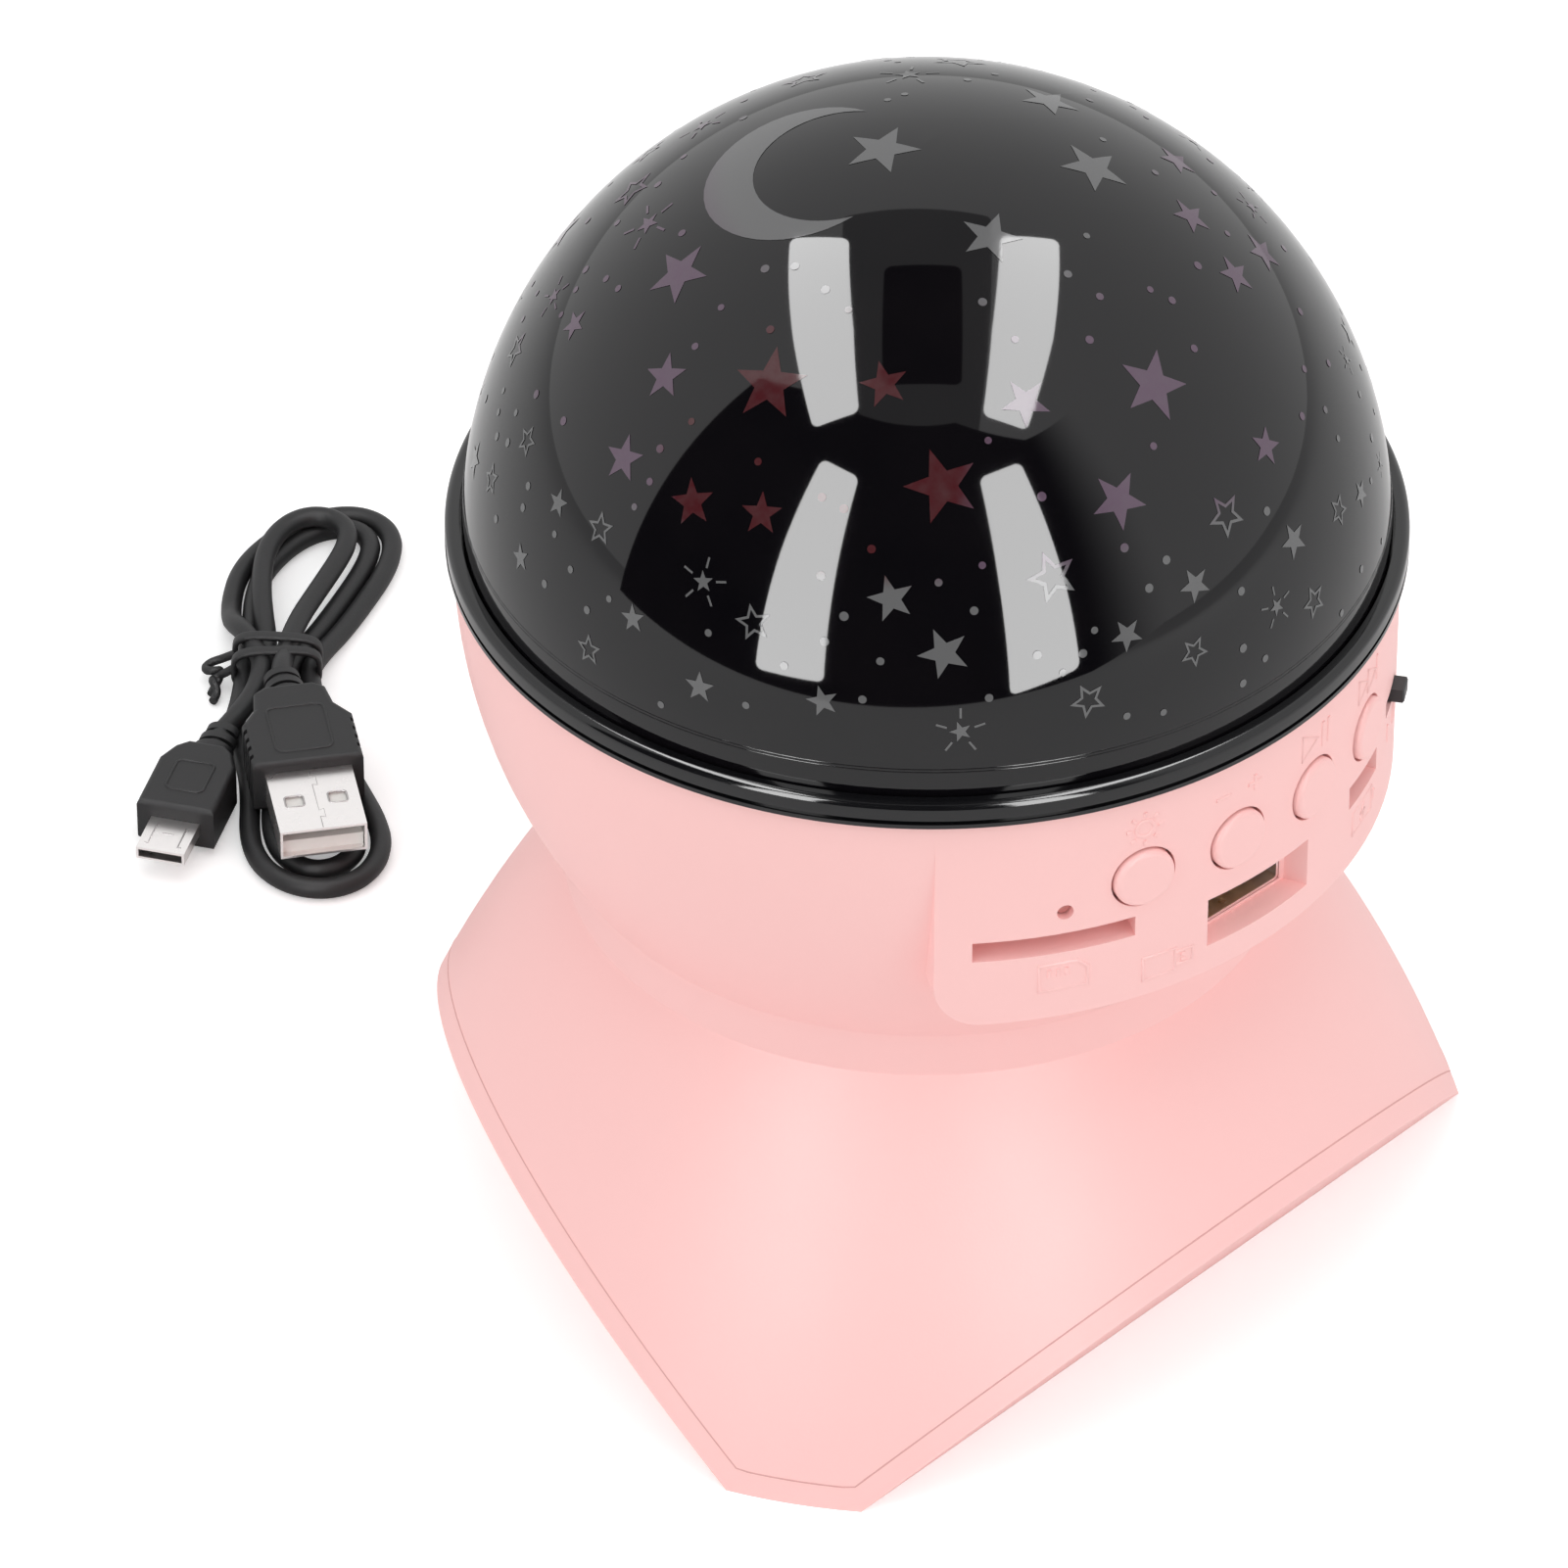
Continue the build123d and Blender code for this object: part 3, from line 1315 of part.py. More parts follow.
with BuildPart() as charging_cable:
    with BuildSketch(cable_plane):
        with BuildLine():
            Spline(
                (3.7, 7.4),
                (6.4, 14.2),
                (9.5, 21.0),
                (12.2, 28.1),
                (13.8, 35.8),
                (9.3, 43.3),
                (0.9, 42.1),
                (-5.4, 36.9),
                (-9.9, 30.5),
                (-11.1, 22.6),
                (-10.2, 14.6),
                (-8.6, 7.6),
            )
            Line((-8.6, 7.6), (3.7, 7.4))
        make_face()
    extrude(amount=2 * cord_diameter)
    with BuildSketch(cable_plane):
        with BuildLine():
            Spline(
                (2.9, -1.3),
                (5.2, -8.4),
                (9.1, -15.0),
                (12.9, -22.2),
                (14.8, -30.2),
                (13.8, -38.8),
                (6.6, -44.6),
                (-1.6, -40.6),
                (-5.7, -33.0),
                (-6.2, -24.9),
                (-6.9, -17.4),
                (-8.4, -9.6),
                (-8.6, -1.3),
            )
            Line((-8.6, -1.3), (2.9, -1.3))
        make_face()
    extrude(amount=cord_diameter)
    with BuildSketch(cable_plane.offset(tie_thickness)):
        with Locations((waist_offset, waist_middle)):
            Rectangle(waist_width, waist_length)
    extrude(amount=waist_top - tie_thickness)
    with BuildSketch(cable_plane):
        with Locations((waist_offset, tie_centre)):
            Rectangle(2 * waist_width, tie_width)
    extrude(amount=tie_thickness, mode=Mode.SUBTRACT)
    with BuildSketch(cable_plane):
        with Locations((waist_offset, tie_centre)):
            Rectangle(2 * waist_width, tie_width)
            Rectangle(waist_width, tie_width, mode=Mode.SUBTRACT)
    extrude(amount=waist_top, mode=Mode.SUBTRACT)
    # The lead that runs out to the micro-USB plug, over the lower strands.
    with BuildSketch(cable_plane.offset(cord_diameter)):
        with BuildLine():
            Line((-4.7, 0), (-9.0, -11.7))
        trace(line_width=cord_diameter)
    extrude(amount=cord_diameter)
charging_cable.part.label = "charging_cable"
export_step(charging_cable.part, "parts/charging_cable.step")

# Coated wire tie wound round the waist, with its twisted ends at one side.
with BuildPart() as cable_tie:
    with BuildSketch(cable_plane):
        with Locations((waist_offset, tie_centre)):
            Rectangle(waist_width + 2 * tie_thickness, tie_width - 2 * socket_clearance)
    extrude(amount=waist_top + tie_thickness)
    with BuildSketch(cable_plane.offset(tie_thickness)):
        with Locations((waist_offset, tie_centre)):
            Rectangle(waist_width, tie_width)
    extrude(amount=waist_top - tie_thickness, mode=Mode.SUBTRACT)
    with BuildSketch(cable_plane.offset(waist_top / 2)):
        tail_start = waist_offset - waist_width / 2 - tie_thickness
        with Locations((tail_start, tie_centre - tie_tail_width / 2)):
            Rectangle(tie_tail_length, tie_tail_width, align=(Align.MAX, Align.CENTER))
    extrude(amount=tie_tail_width)
cable_tie.part.label = "cable_tie"
export_step(cable_tie.part, "parts/cable_tie.step")

# USB plug: ribbed strain relief, shouldered grip and a steel shell with two square holes.
usb_axis_height = cord_diameter + usb_plug_thickness / 2 + running_clearance
usb_plug = plug_plane((-1.5, waist_front), usb_axis_height, usb_heading)
usb_section = Plane(usb_plug.origin, x_dir=(0, 0, 1), z_dir=usb_plug.x_dir)
usb_tip = usb_relief_length + usb_grip_length
with BuildPart() as usb_plug_body:
    with BuildSketch(usb_plug.offset(-usb_plug_thickness / 2)):
        with BuildLine():
            upper = Polyline(
                (usb_relief_length, 0),
                (usb_relief_length, usb_neck_width / 2),
                (usb_relief_length + 0.07 * usb_grip_length, 0.45 * usb_shoulder_width),
                (usb_relief_length + 0.28 * usb_grip_length, usb_shoulder_width / 2),
                (usb_relief_length + 0.45 * usb_grip_length, usb_plug_width / 2),
                (usb_tip, usb_plug_width / 2),
                (usb_tip, 0),
            )
            mirror(upper, about=Plane.XZ)
        make_face()
    extrude(amount=usb_plug_thickness)
    fillet(usb_plug_body.edges().group_by(Axis.Z)[-1], plug_fillet)
    fillet(usb_plug_body.edges().group_by(Axis.Z)[0], plug_fillet)
    # Grip ribs are left between four cuts in each side.
    with BuildSketch(usb_plug.offset(-usb_plug_thickness / 2)):
        grip_middle = usb_tip - grip_cut_setback
        with Locations((grip_middle, usb_plug_width / 2), (grip_middle, -usb_plug_width / 2)):
            with GridLocations(grip_cut_pitch, 1, grip_cut_count, 1):
                Rectangle(grip_cut_width, 2 * grip_cut_depth)
    extrude(amount=usb_plug_thickness, mode=Mode.SUBTRACT)
    with BuildSketch(usb_section):
        Ellipse(usb_relief_radius, 1.1 * usb_relief_radius)
    extrude(amount=usb_relief_length + cut_spare)
    for collar in range(relief_collars):
        growth = 0.1 * usb_relief_radius * collar
        with BuildSketch(usb_section.offset(turning_gap + usb_collar_pitch * collar)):
            Ellipse(1.15 * usb_relief_radius + growth, 1.35 * usb_relief_radius + growth)
        extrude(amount=usb_collar_width)
usb_plug_body.part.label = "usb_plug_body"
export_step(usb_plug_body.part, "parts/usb_plug_body.step")

with BuildPart() as usb_plug_shell:
    with BuildSketch(usb_section.offset(usb_tip)):
        Rectangle(usb_tip_height, usb_tip_width)
    extrude(amount=usb_tip_length)
    with BuildSketch(usb_section.offset(usb_tip + shell_sheet)):
        Rectangle(usb_tip_height - 2 * shell_sheet, usb_tip_width - 2 * shell_sheet)
    extrude(amount=usb_tip_length, mode=Mode.SUBTRACT)
    with BuildSketch(usb_plug):
        with Locations((usb_tip + usb_tip_length / 2, 0)):
            with GridLocations(1, latch_hole_spacing, 1, 2):
                Rectangle(latch_hole_length, latch_hole_width)
    extrude(amount=usb_tip_height, mode=Mode.SUBTRACT)
usb_plug_shell.part.label = "usb_plug_shell"
export_step(usb_plug_shell.part, "parts/usb_plug_shell.step")

with BuildPart() as usb_plug_insert:
    insert_height = usb_tip_height / 2 - shell_sheet
    with BuildSketch(usb_section.offset(usb_tip + shell_sheet)):
        with Locations((-insert_height / 2, 0)):
            Rectangle(insert_height, usb_tip_width - 2 * shell_sheet - socket_clearance)
    extrude(amount=usb_tip_length - shell_sheet - cut_spare)
usb_plug_insert.part.label = "usb_plug_insert"
export_step(usb_plug_insert.part, "parts/usb_plug_insert.step")

# Micro-USB plug: ribbed strain relief, round-shouldered grip and a small steel shell.
micro_plug = plug_plane((-9.0, -11.5), cord_diameter * 1.5, micro_heading)
micro_section = Plane(micro_plug.origin, x_dir=(0, 0, 1), z_dir=micro_plug.x_dir)
micro_tip = micro_relief_length + micro_grip_length
with BuildPart() as micro_plug_body:
    with BuildSketch(micro_plug.offset(-micro_plug_thickness / 2)):
        with BuildLine():
            upper = Polyline(
                (micro_relief_length, 0),
                (micro_relief_length, micro_neck_width / 2),
                (micro_relief_length + 0.1 * micro_grip_length, 0.38 * micro_plug_width),
                (micro_relief_length + 0.3 * micro_grip_length, micro_plug_width / 2),
                (micro_tip, micro_plug_width / 2),
                (micro_tip, 0),
            )
            mirror(upper, about=Plane.XZ)
        make_face()
    extrude(amount=micro_plug_thickness)
    fillet(micro_plug_body.edges().group_by(Axis.Z)[-1], plug_fillet)
    fillet(micro_plug_body.edges().group_by(Axis.Z)[0], plug_fillet)
    with BuildSketch(micro_section):
        Circle(micro_relief_radius)
    extrude(amount=micro_relief_length + cut_spare)
    for collar in range(relief_collars):
        growth = 0.2 * micro_relief_radius * collar
        with BuildSketch(micro_section.offset(socket_clearance + micro_collar_pitch * collar)):
            Ellipse(micro_relief_radius + growth, 1.55 * micro_relief_radius + growth)
        extrude(amount=micro_collar_width)
micro_plug_body.part.label = "micro_plug_body"
export_step(micro_plug_body.part, "parts/micro_plug_body.step")

with BuildPart() as micro_plug_shell:
    with BuildSketch(micro_section.offset(micro_tip)):
        Rectangle(micro_tip_height, micro_tip_width)
    extrude(amount=micro_tip_length)
    with BuildSketch(micro_section.offset(micro_tip + shell_sheet)):
        Rectangle(micro_tip_height - 2 * shell_sheet, micro_tip_width - 2 * shell_sheet)
    extrude(amount=micro_tip_length, mode=Mode.SUBTRACT)
micro_plug_shell.part.label = "micro_plug_shell"
export_step(micro_plug_shell.part, "parts/micro_plug_shell.step")
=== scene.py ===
import json
import math
import random

import bmesh
import bpy
from mathutils import Euler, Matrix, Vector

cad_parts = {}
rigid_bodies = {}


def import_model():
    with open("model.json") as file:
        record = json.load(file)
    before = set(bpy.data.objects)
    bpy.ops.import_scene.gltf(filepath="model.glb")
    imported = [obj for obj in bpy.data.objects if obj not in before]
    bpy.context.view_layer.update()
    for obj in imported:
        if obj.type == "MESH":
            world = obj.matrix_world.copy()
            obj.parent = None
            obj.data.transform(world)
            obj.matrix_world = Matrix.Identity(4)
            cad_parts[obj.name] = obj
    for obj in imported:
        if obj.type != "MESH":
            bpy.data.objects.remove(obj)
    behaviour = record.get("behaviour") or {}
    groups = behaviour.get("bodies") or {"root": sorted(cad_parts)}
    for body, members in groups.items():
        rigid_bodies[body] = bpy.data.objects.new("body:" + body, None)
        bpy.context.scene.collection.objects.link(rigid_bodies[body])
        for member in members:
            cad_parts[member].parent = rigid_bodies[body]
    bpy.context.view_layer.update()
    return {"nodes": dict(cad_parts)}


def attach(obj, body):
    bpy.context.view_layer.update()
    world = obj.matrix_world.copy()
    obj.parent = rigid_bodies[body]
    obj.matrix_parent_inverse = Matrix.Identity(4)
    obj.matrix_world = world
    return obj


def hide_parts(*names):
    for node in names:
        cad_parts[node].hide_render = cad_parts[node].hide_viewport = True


for default in list(bpy.data.objects):
    bpy.data.objects.remove(default)
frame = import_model()
random.seed(12)
MM = 0.001

# ---------------------------------------------------------------- studio
# A white paper floor and a white room, lit by a large soft lamp overhead and
# two softer ones at the sides. Strip lights, a shade card, a camera hood and a
# black curtain stand round the object, for the gloss of its dome only.
scene = bpy.context.scene
scene.view_settings.view_transform = "Standard"

camera_data = bpy.data.cameras.new("camera")
camera_data.lens = 270.44
camera_data.sensor_width = 36
camera_data.clip_start = 0.05
camera = bpy.data.objects.new("camera", camera_data)
camera.location = (-0.88623, -0.81759, 1.00049)
camera_aim = Vector((-0.01257, 0.01321, 0.06172))
camera.rotation_euler = (camera_aim - camera.location).to_track_quat("-Z", "Y").to_euler()
scene.collection.objects.link(camera)
scene.camera = camera


def node(tree, kind, settings=None, **inputs):
    """Adds a shader node. An input is a value, or another node's output."""
    made = tree.nodes.new("ShaderNode" + kind)
    for key, value in (settings or {}).items():
        setattr(made, key, value)
    for key, value in inputs.items():
        socket = made.inputs[int(key[1:]) if key[0] == "_" else key.replace("_", " ")]
        if isinstance(value, bpy.types.NodeSocket):
            tree.links.new(value, socket)
        else:
            socket.default_value = value
    return made


def maths(tree, operation, first, second=0.0, third=0.0):
    """Adds a sum of up to three values or outputs, and gives its output."""
    made = node(tree, "Math", {"operation": operation}, _0=first, _1=second, _2=third)
    return made.outputs[0]


def ramp(tree, value, start, end):
    """Adds a smooth ramp from 0 at the value's start to 1 at its end, and gives its output."""
    made = node(tree, "MapRange", {"interpolation_type": "SMOOTHSTEP"}, Value=value,
                _1=start, _2=end)
    return made.outputs[0]


def blend(tree, share, first, second):
    """Adds a mix of two colours, by the second one's share, and gives its output."""
    made = node(tree, "Mix", {"data_type": "RGBA"}, Factor=share, _6=first, _7=second)
    return made.outputs[2]


# The room looks white to the camera and in reflections, and lights a little less.
room_fill = 0.67
world = bpy.data.worlds.new("white room")
world.use_nodes = True
room = world.node_tree
room.nodes.clear()
rays = node(room, "LightPath")
seen = maths(room, "ADD", rays.outputs["Is Camera Ray"], rays.outputs["Is Glossy Ray"])
seen = maths(room, "ADD", seen, rays.outputs["Is Transmission Ray"])
strength = maths(room, "MULTIPLY_ADD", seen, 1 - room_fill, room_fill)
backdrop = node(room, "Background", Color=(1, 1, 1, 1), Strength=strength)
node(room, "OutputWorld", Surface=backdrop.outputs[0])
scene.world = world


def mesh_object(name, shape):
    """Makes an object from a bmesh, with its place kept in the mesh."""
    mesh = bpy.data.meshes.new(name)
    shape.to_mesh(mesh)
    shape.free()
    made = bpy.data.objects.new(name, mesh)
    scene.collection.objects.link(made)
    return made


def new_material(name):
    """An empty node material, and its tree."""
    made = bpy.data.materials.new(name)
    made.use_nodes = True
    made.node_tree.nodes.clear()
    return made, made.node_tree


lamp_aim = Vector((0, 0, 0.08))


def soft_lamp(name, place, watts, size):
    """A square lamp that lights the object and shows in no reflection."""
    data = bpy.data.lights.new(name, "AREA")
    data.energy = watts
    data.size = size
    lamp = bpy.data.objects.new(name, data)
    lamp.location = place
    lamp.rotation_euler = (lamp_aim - lamp.location).to_track_quat("-Z", "Y").to_euler()
    lamp.visible_glossy = False
    scene.collection.objects.link(lamp)


soft_lamp("overhead lamp", (-0.20, 0.0, 1.6), 6.4, 1.4)
soft_lamp("left lamp", (-1.35, 0.15, 0.75), 3.6, 1.0)
soft_lamp("right lamp", (0.45, -1.25, 0.75), 4.4, 1.0)

# The paper glows a little for the camera alone, so that it looks white and keeps
# the object's shadow.
floor_reach, paper_white, paper_glow = 4.0, 0.93, 0.34
shape = bmesh.new()
bmesh.ops.create_grid(shape, x_segments=1, y_segments=1, size=floor_reach)
floor = mesh_object("floor", shape)
paper, tree = new_material("floor paper")
rays = node(tree, "LightPath")
place = node(tree, "TexCoord").outputs["Object"]
fibre = node(tree, "TexNoise", Vector=place, Scale=900.0, Detail=2.0)
tooth = node(tree, "Bump", Strength=0.1, Distance=0.0001, Height=fibre.outputs[0])
matt = node(tree, "BsdfDiffuse", Color=(paper_white, paper_white, paper_white, 1),
            Normal=tooth.outputs[0])
glow = node(tree, "Emission",
            Strength=maths(tree, "MULTIPLY", rays.outputs["Is Camera Ray"], paper_glow))
both = node(tree, "AddShader", _0=matt.outputs[0], _1=glow.outputs[0])
node(tree, "OutputMaterial", Surface=both.outputs[0])
floor.data.materials.append(paper)


def for_gloss_only(panel, name, brightness, fade=None):
    """The panel shows in polished surfaces, and neither lights nor hides anything.

    A fade is the two angles round the object between which a dark panel turns white.
    """
    skin, tree = new_material(name)
    if fade:
        place = node(tree, "SeparateXYZ", Vector=node(tree, "TexCoord").outputs["Object"])
        ahead = maths(tree, "MULTIPLY", place.outputs["Y"], -1.0)
        turn = maths(tree, "ARCTAN2", place.outputs["X"], ahead)
        brightness = ramp(tree, turn, math.radians(fade[0]), math.radians(fade[1]))
    glow = node(tree, "Emission", Strength=brightness)
    node(tree, "OutputMaterial", Surface=glow.outputs[0])
    panel.data.materials.append(skin)
    panel.visible_camera = False
    panel.visible_diffuse = False
    panel.visible_transmission = False
    panel.visible_shadow = False


# A panel's corners go in pairs, from its one end to its other.
strip_glow, shade_glow, corner_round = 13.0, 0.35, 0.014
panel_corners = {
    "high left strip": (strip_glow, (
        (-0.318, 0.007, 0.498), (-0.256, -0.054, 0.538), (-0.196, 0.149, 0.542),
        (-0.136, 0.062, 0.585), (-0.01, 0.283, 0.51), (0.025, 0.2, 0.559))),
    "low left strip": (strip_glow, (
        (-0.5, -0.045, 0.072), (-0.472, -0.177, 0.079), (-0.462, -0.044, 0.306),
        (-0.43, -0.159, 0.323), (-0.349, -0.042, 0.47), (-0.337, -0.126, 0.463))),
    "high right strip": (strip_glow, (
        (-0.1, -0.238, 0.541), (-0.046, -0.304, 0.507), (0.035, -0.126, 0.591),
        (0.118, -0.196, 0.552), (0.194, 0.024, 0.561), (0.268, -0.026, 0.52))),
    "low right strip": (strip_glow, (
        (-0.244, -0.44, 0.061), (-0.116, -0.49, 0.089), (-0.232, -0.408, 0.298),
        (-0.113, -0.461, 0.281), (-0.179, -0.306, 0.469), (-0.094, -0.334, 0.475))),
    "shade card": (shade_glow, (
        (-0.377, -0.112, 0.657), (-0.171, -0.341, 0.664),
        (0.094, 0.334, 0.682), (0.299, 0.1, 0.701))),
    "camera hood": (0.0, (
        (-0.194, -0.059, 0.569), (-0.091, -0.172, 0.573),
        (0.004, 0.108, 0.591), (0.093, 0.011, 0.594))),
}
for name, (brightness, corners) in panel_corners.items():
    rows = len(corners) // 2 - 1
    shape = bmesh.new()
    bmesh.ops.create_grid(shape, x_segments=1, y_segments=rows, size=1.0)
    for vertex in shape.verts:
        row = round((vertex.co.y + 1) / 2 * rows)
        vertex.co = corners[2 * row + (1 if vertex.co.x > 0 else 0)]
    outer = [vertex for vertex in shape.verts if len(vertex.link_edges) == 2]
    bmesh.ops.bevel(shape, geom=outer, offset=corner_round, segments=5, profile=0.5,
                    affect="VERTICES", material=-1)
    for_gloss_only(mesh_object(name, shape), name + " face", brightness)

# The curtain bends round the object. Its upper edge arches and its lower edge
# dips, and towards its end it fades into the white of the room.
curtain_reach, curtain_middle = 0.65, 0.104
curtain_start, fade_start, curtain_end = -121.5, -10.0, 12.0
low_edge, low_dip, low_lift = -4, 3.5, 5
high_edge, high_arch = 51, 13
shape = bmesh.new()
bmesh.ops.create_grid(shape, x_segments=36, y_segments=24, size=1.0)
for vertex in shape.verts:
    turn = curtain_start + (curtain_end - curtain_start) * (vertex.co.x + 1) / 2
    bow = math.sin(math.pi * min(1, (turn - curtain_start) / (fade_start - curtain_start)))
    faded = max(0, (turn - fade_start) / (curtain_end - fade_start))
    low, high = low_edge - low_dip * bow + low_lift * faded, high_edge + high_arch * bow
    turn = math.radians(turn)
    rise = math.radians(low + (high - low) * (vertex.co.y + 1) / 2)
    flat = curtain_reach * math.cos(rise)
    vertex.co = (flat * math.sin(turn), -flat * math.cos(turn),
                 curtain_middle + curtain_reach * math.sin(rise))
for_gloss_only(mesh_object("black curtain", shape), "black curtain cloth", 0.0,
               (fade_start, curtain_end))


# ---------------------------------------------------------------- pink housings
# The bell-shaped pedestal, the bowl with its control panel and the base cover
# are thick-walled mouldings in pale pink plastic with a fine satin texture.
# The bowl is screwed to the pedestal and the cover closes it from below.
def moulded_skin():
    """A moulding's skin: slow drifts of colour and sheen, and a fine even grain."""
    group = bpy.data.node_groups.new("moulded skin", "ShaderNodeTree")
    for name, kind in (("Colour", "Color"), ("Drift", "Float"), ("Sheen", "Float"),
                       ("Grain", "Float"), ("Depth", "Float")):
        group.interface.new_socket(name, in_out="INPUT", socket_type="NodeSocket" + kind)
    for name, kind in (("Colour", "Color"), ("Sheen", "Float"), ("Normal", "Vector")):
        group.interface.new_socket(name, in_out="OUTPUT", socket_type="NodeSocket" + kind)
    given = group.nodes.new("NodeGroupInput").outputs
    place = node(group, "TexCoord").outputs["Object"]
    slow = node(group, "TexNoise", Vector=place, Scale=22.0, Detail=3.0).outputs[0]
    fine = node(group, "TexNoise", Vector=place, Scale=given["Grain"], Detail=2.0).outputs[0]
    worn = node(group, "TexNoise", Vector=place, Scale=140.0, Detail=5.0).outputs[0]
    drifting = maths(group, "SUBTRACT", slow, 0.5)
    lift = maths(group, "MULTIPLY_ADD", drifting, given["Drift"], 1.0)
    colour = node(group, "HueSaturation", Color=given["Colour"], Value=lift)
    wearing = maths(group, "SUBTRACT", worn, 0.5)
    sheen = maths(group, "MULTIPLY_ADD", wearing, 0.12, given["Sheen"])
    grain = node(group, "Bump", Strength=0.35, Distance=given["Depth"], Height=fine)
    result = group.nodes.new("NodeGroupOutput").inputs
    group.links.new(colour.outputs[0], result["Colour"])
    group.links.new(sheen, result["Sheen"])
    group.links.new(grain.outputs[0], result["Normal"])
    return group


skin_group = moulded_skin()


def moulding(name, colour, sheen, drift=0.06, grain=2400.0, depth=0.00004, **constants):
    """A plastic or rubber material built on the moulded skin."""
    made, tree = new_material(name)
    skin = tree.nodes.new("ShaderNodeGroup")
    skin.node_tree = skin_group
    skin.inputs["Colour"].default_value = (*colour, 1)
    skin.inputs["Drift"].default_value = drift
    skin.inputs["Sheen"].default_value = sheen
    skin.inputs["Grain"].default_value = grain
    skin.inputs["Depth"].default_value = depth
    body = node(tree, "BsdfPrincipled", Base_Color=skin.outputs["Colour"],
                Roughness=skin.outputs["Sheen"], Normal=skin.outputs["Normal"], **constants)
    node(tree, "OutputMaterial", Surface=body.outputs[0])
    return made


def finish(material, *names):
    """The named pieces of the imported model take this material."""
    for name in names:
        frame["nodes"][name].material_slots[0].material = material


pink = moulding("pale pink satin plastic", (0.985, 0.597, 0.578), 0.46, drift=0.03,
                Specular_IOR_Level=0.25)
finish(pink, "bowl_housing", "pedestal_shell", "base_cover",
       "light_button", "dimmer_button", "play_button", "skip_button")


# ---------------------------------------------------------------- hem seam
# The joint between pedestal and base cover, a fine darker line 3 mm above the
# foot and the three slanted hems. It lies in the pink surface all round, and its
# darker pink is painted shade, standing for the shadow in the joint's groove.
def fine_lines(name, paths, radius, material, body="base"):
    """Round lines along paths of places in mm. A path that ends where it starts is closed."""
    line = bpy.data.curves.new(name, "CURVE")
    line.dimensions = "3D"
    line.bevel_depth = radius * MM
    line.bevel_resolution = 3
    line.use_fill_caps = True
    for path in paths:
        closed = math.dist(path[0], path[-1]) < 1e-6
        places = path[:-1] if closed else path
        spline = line.splines.new("POLY")
        spline.points.add(len(places) - 1)
        spline.use_cyclic_u = closed
        for point, place in zip(spline.points, places):
            point.co = (place[0] * MM, place[1] * MM, place[2] * MM, 1)
    made = bpy.data.objects.new(name, line)
    scene.collection.objects.link(made)
    line.materials.append(material)
    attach(made, body)
    return made


bell_centre, bell_radius = (-109.2705, -59.9232), 191.868
hem_directions, hem_distance, hem_rise = (30, 150, 270), 43.94, 1.37
cover_thickness = 3.0
seam_line, seam_sunk, seam_steps = 0.16, 0.12, 288


def bell_reach(height):
    """The bell's radius at a height, in mm."""
    return bell_centre[0] + math.sqrt(bell_radius ** 2 - (height - bell_centre[1]) ** 2)


def seam_place(turn):
    """The seam's place at an angle in degrees, found by closing in on both surfaces."""
    lift = cover_thickness * math.sqrt(1 + hem_rise ** 2)
    height = cover_thickness
    for attempt in range(40):
        wanted = cover_thickness
        for direction in hem_directions:
            outward = bell_reach(height) * math.cos(math.radians(turn - direction))
            wanted = max(wanted, hem_rise * (outward - hem_distance) + lift)
        height = (height + wanted) / 2
    reach, turn = bell_reach(height) - seam_sunk, math.radians(turn)
    return (reach * math.cos(turn), reach * math.sin(turn), height)


# Painted shade: the bead's darker pink stands for the shadow in the groove.
seam_painted_shade = moulding("pink joint painted shade", (0.74, 0.38, 0.36), 0.6, drift=0.1,
                      Specular_IOR_Level=0.2)
seam = [seam_place(360 * i / seam_steps) for i in range(seam_steps + 1)]
fine_lines("hem_seam", [seam], seam_line, seam_painted_shade)

# ---------------------------------------------------------------- raised marks
# Low rounded marks moulded with the panel, one beside each key, socket and
# switch. They're plain drawings of what each one does, without any lettering.
panel_radius = 60.5
key_step, mark_row = 13.55, 97.0
mark_line, mark_sunk, mark_scale = 0.30, 0.10, 1.45
sun_radius, ray_start, ray_end, sun_rays = 0.85, 1.3, 1.75, 8
circle_steps = 20


def circle_stroke(x, y, radius):
    turns = [2 * math.pi * i / circle_steps for i in range(circle_steps + 1)]
    return [(x + radius * math.cos(t), y + radius * math.sin(t)) for t in turns]


def raised_mark(name, angle, height, strokes):
    """Strokes are lists of (across, up) in mm, enlarged and wrapped round the panel."""
    reach = panel_radius - mark_sunk
    paths = []
    for stroke in strokes:
        path = []
        for across, up in stroke:
            turn = math.radians(angle) + mark_scale * across / panel_radius
            lifted = height + mark_scale * up
            path.append((reach * math.sin(turn), -reach * math.cos(turn), lifted))
        paths.append(path)
    fine_lines(name, paths, mark_line, pink)


sun_strokes = [circle_stroke(0, 0, sun_radius)]
for i in range(sun_rays):
    turn = math.radians(360 * i / sun_rays)
    sun_strokes.append([(ray_start * math.cos(turn), ray_start * math.sin(turn)),
                        (ray_end * math.cos(turn), ray_end * math.sin(turn))])
raised_mark("mark_light", -1.5 * key_step, mark_row, sun_strokes)
raised_mark("mark_dimmer", -0.5 * key_step, mark_row,
            [[(-2.6, 0), (-1.0, 0)], [(1.0, 0), (2.6, 0)], [(1.8, -0.8), (1.8, 0.8)]])
raised_mark("mark_play", 0.5 * key_step, mark_row,
            [[(-1.9, -1.3), (-1.9, 1.3), (0.3, 0), (-1.9, -1.3)],
             [(1.1, -1.3), (1.1, 1.3)], [(2.0, -1.3), (2.0, 1.3)]])
raised_mark("mark_skip", 1.5 * key_step, mark_row,
            [[(-2.2, -1.2), (-2.2, 1.2), (-0.2, 0), (-2.2, -1.2)],
             [(-0.2, -1.2), (-0.2, 1.2), (1.8, 0), (-0.2, -1.2)], [(2.1, -1.3), (2.1, 1.3)]])
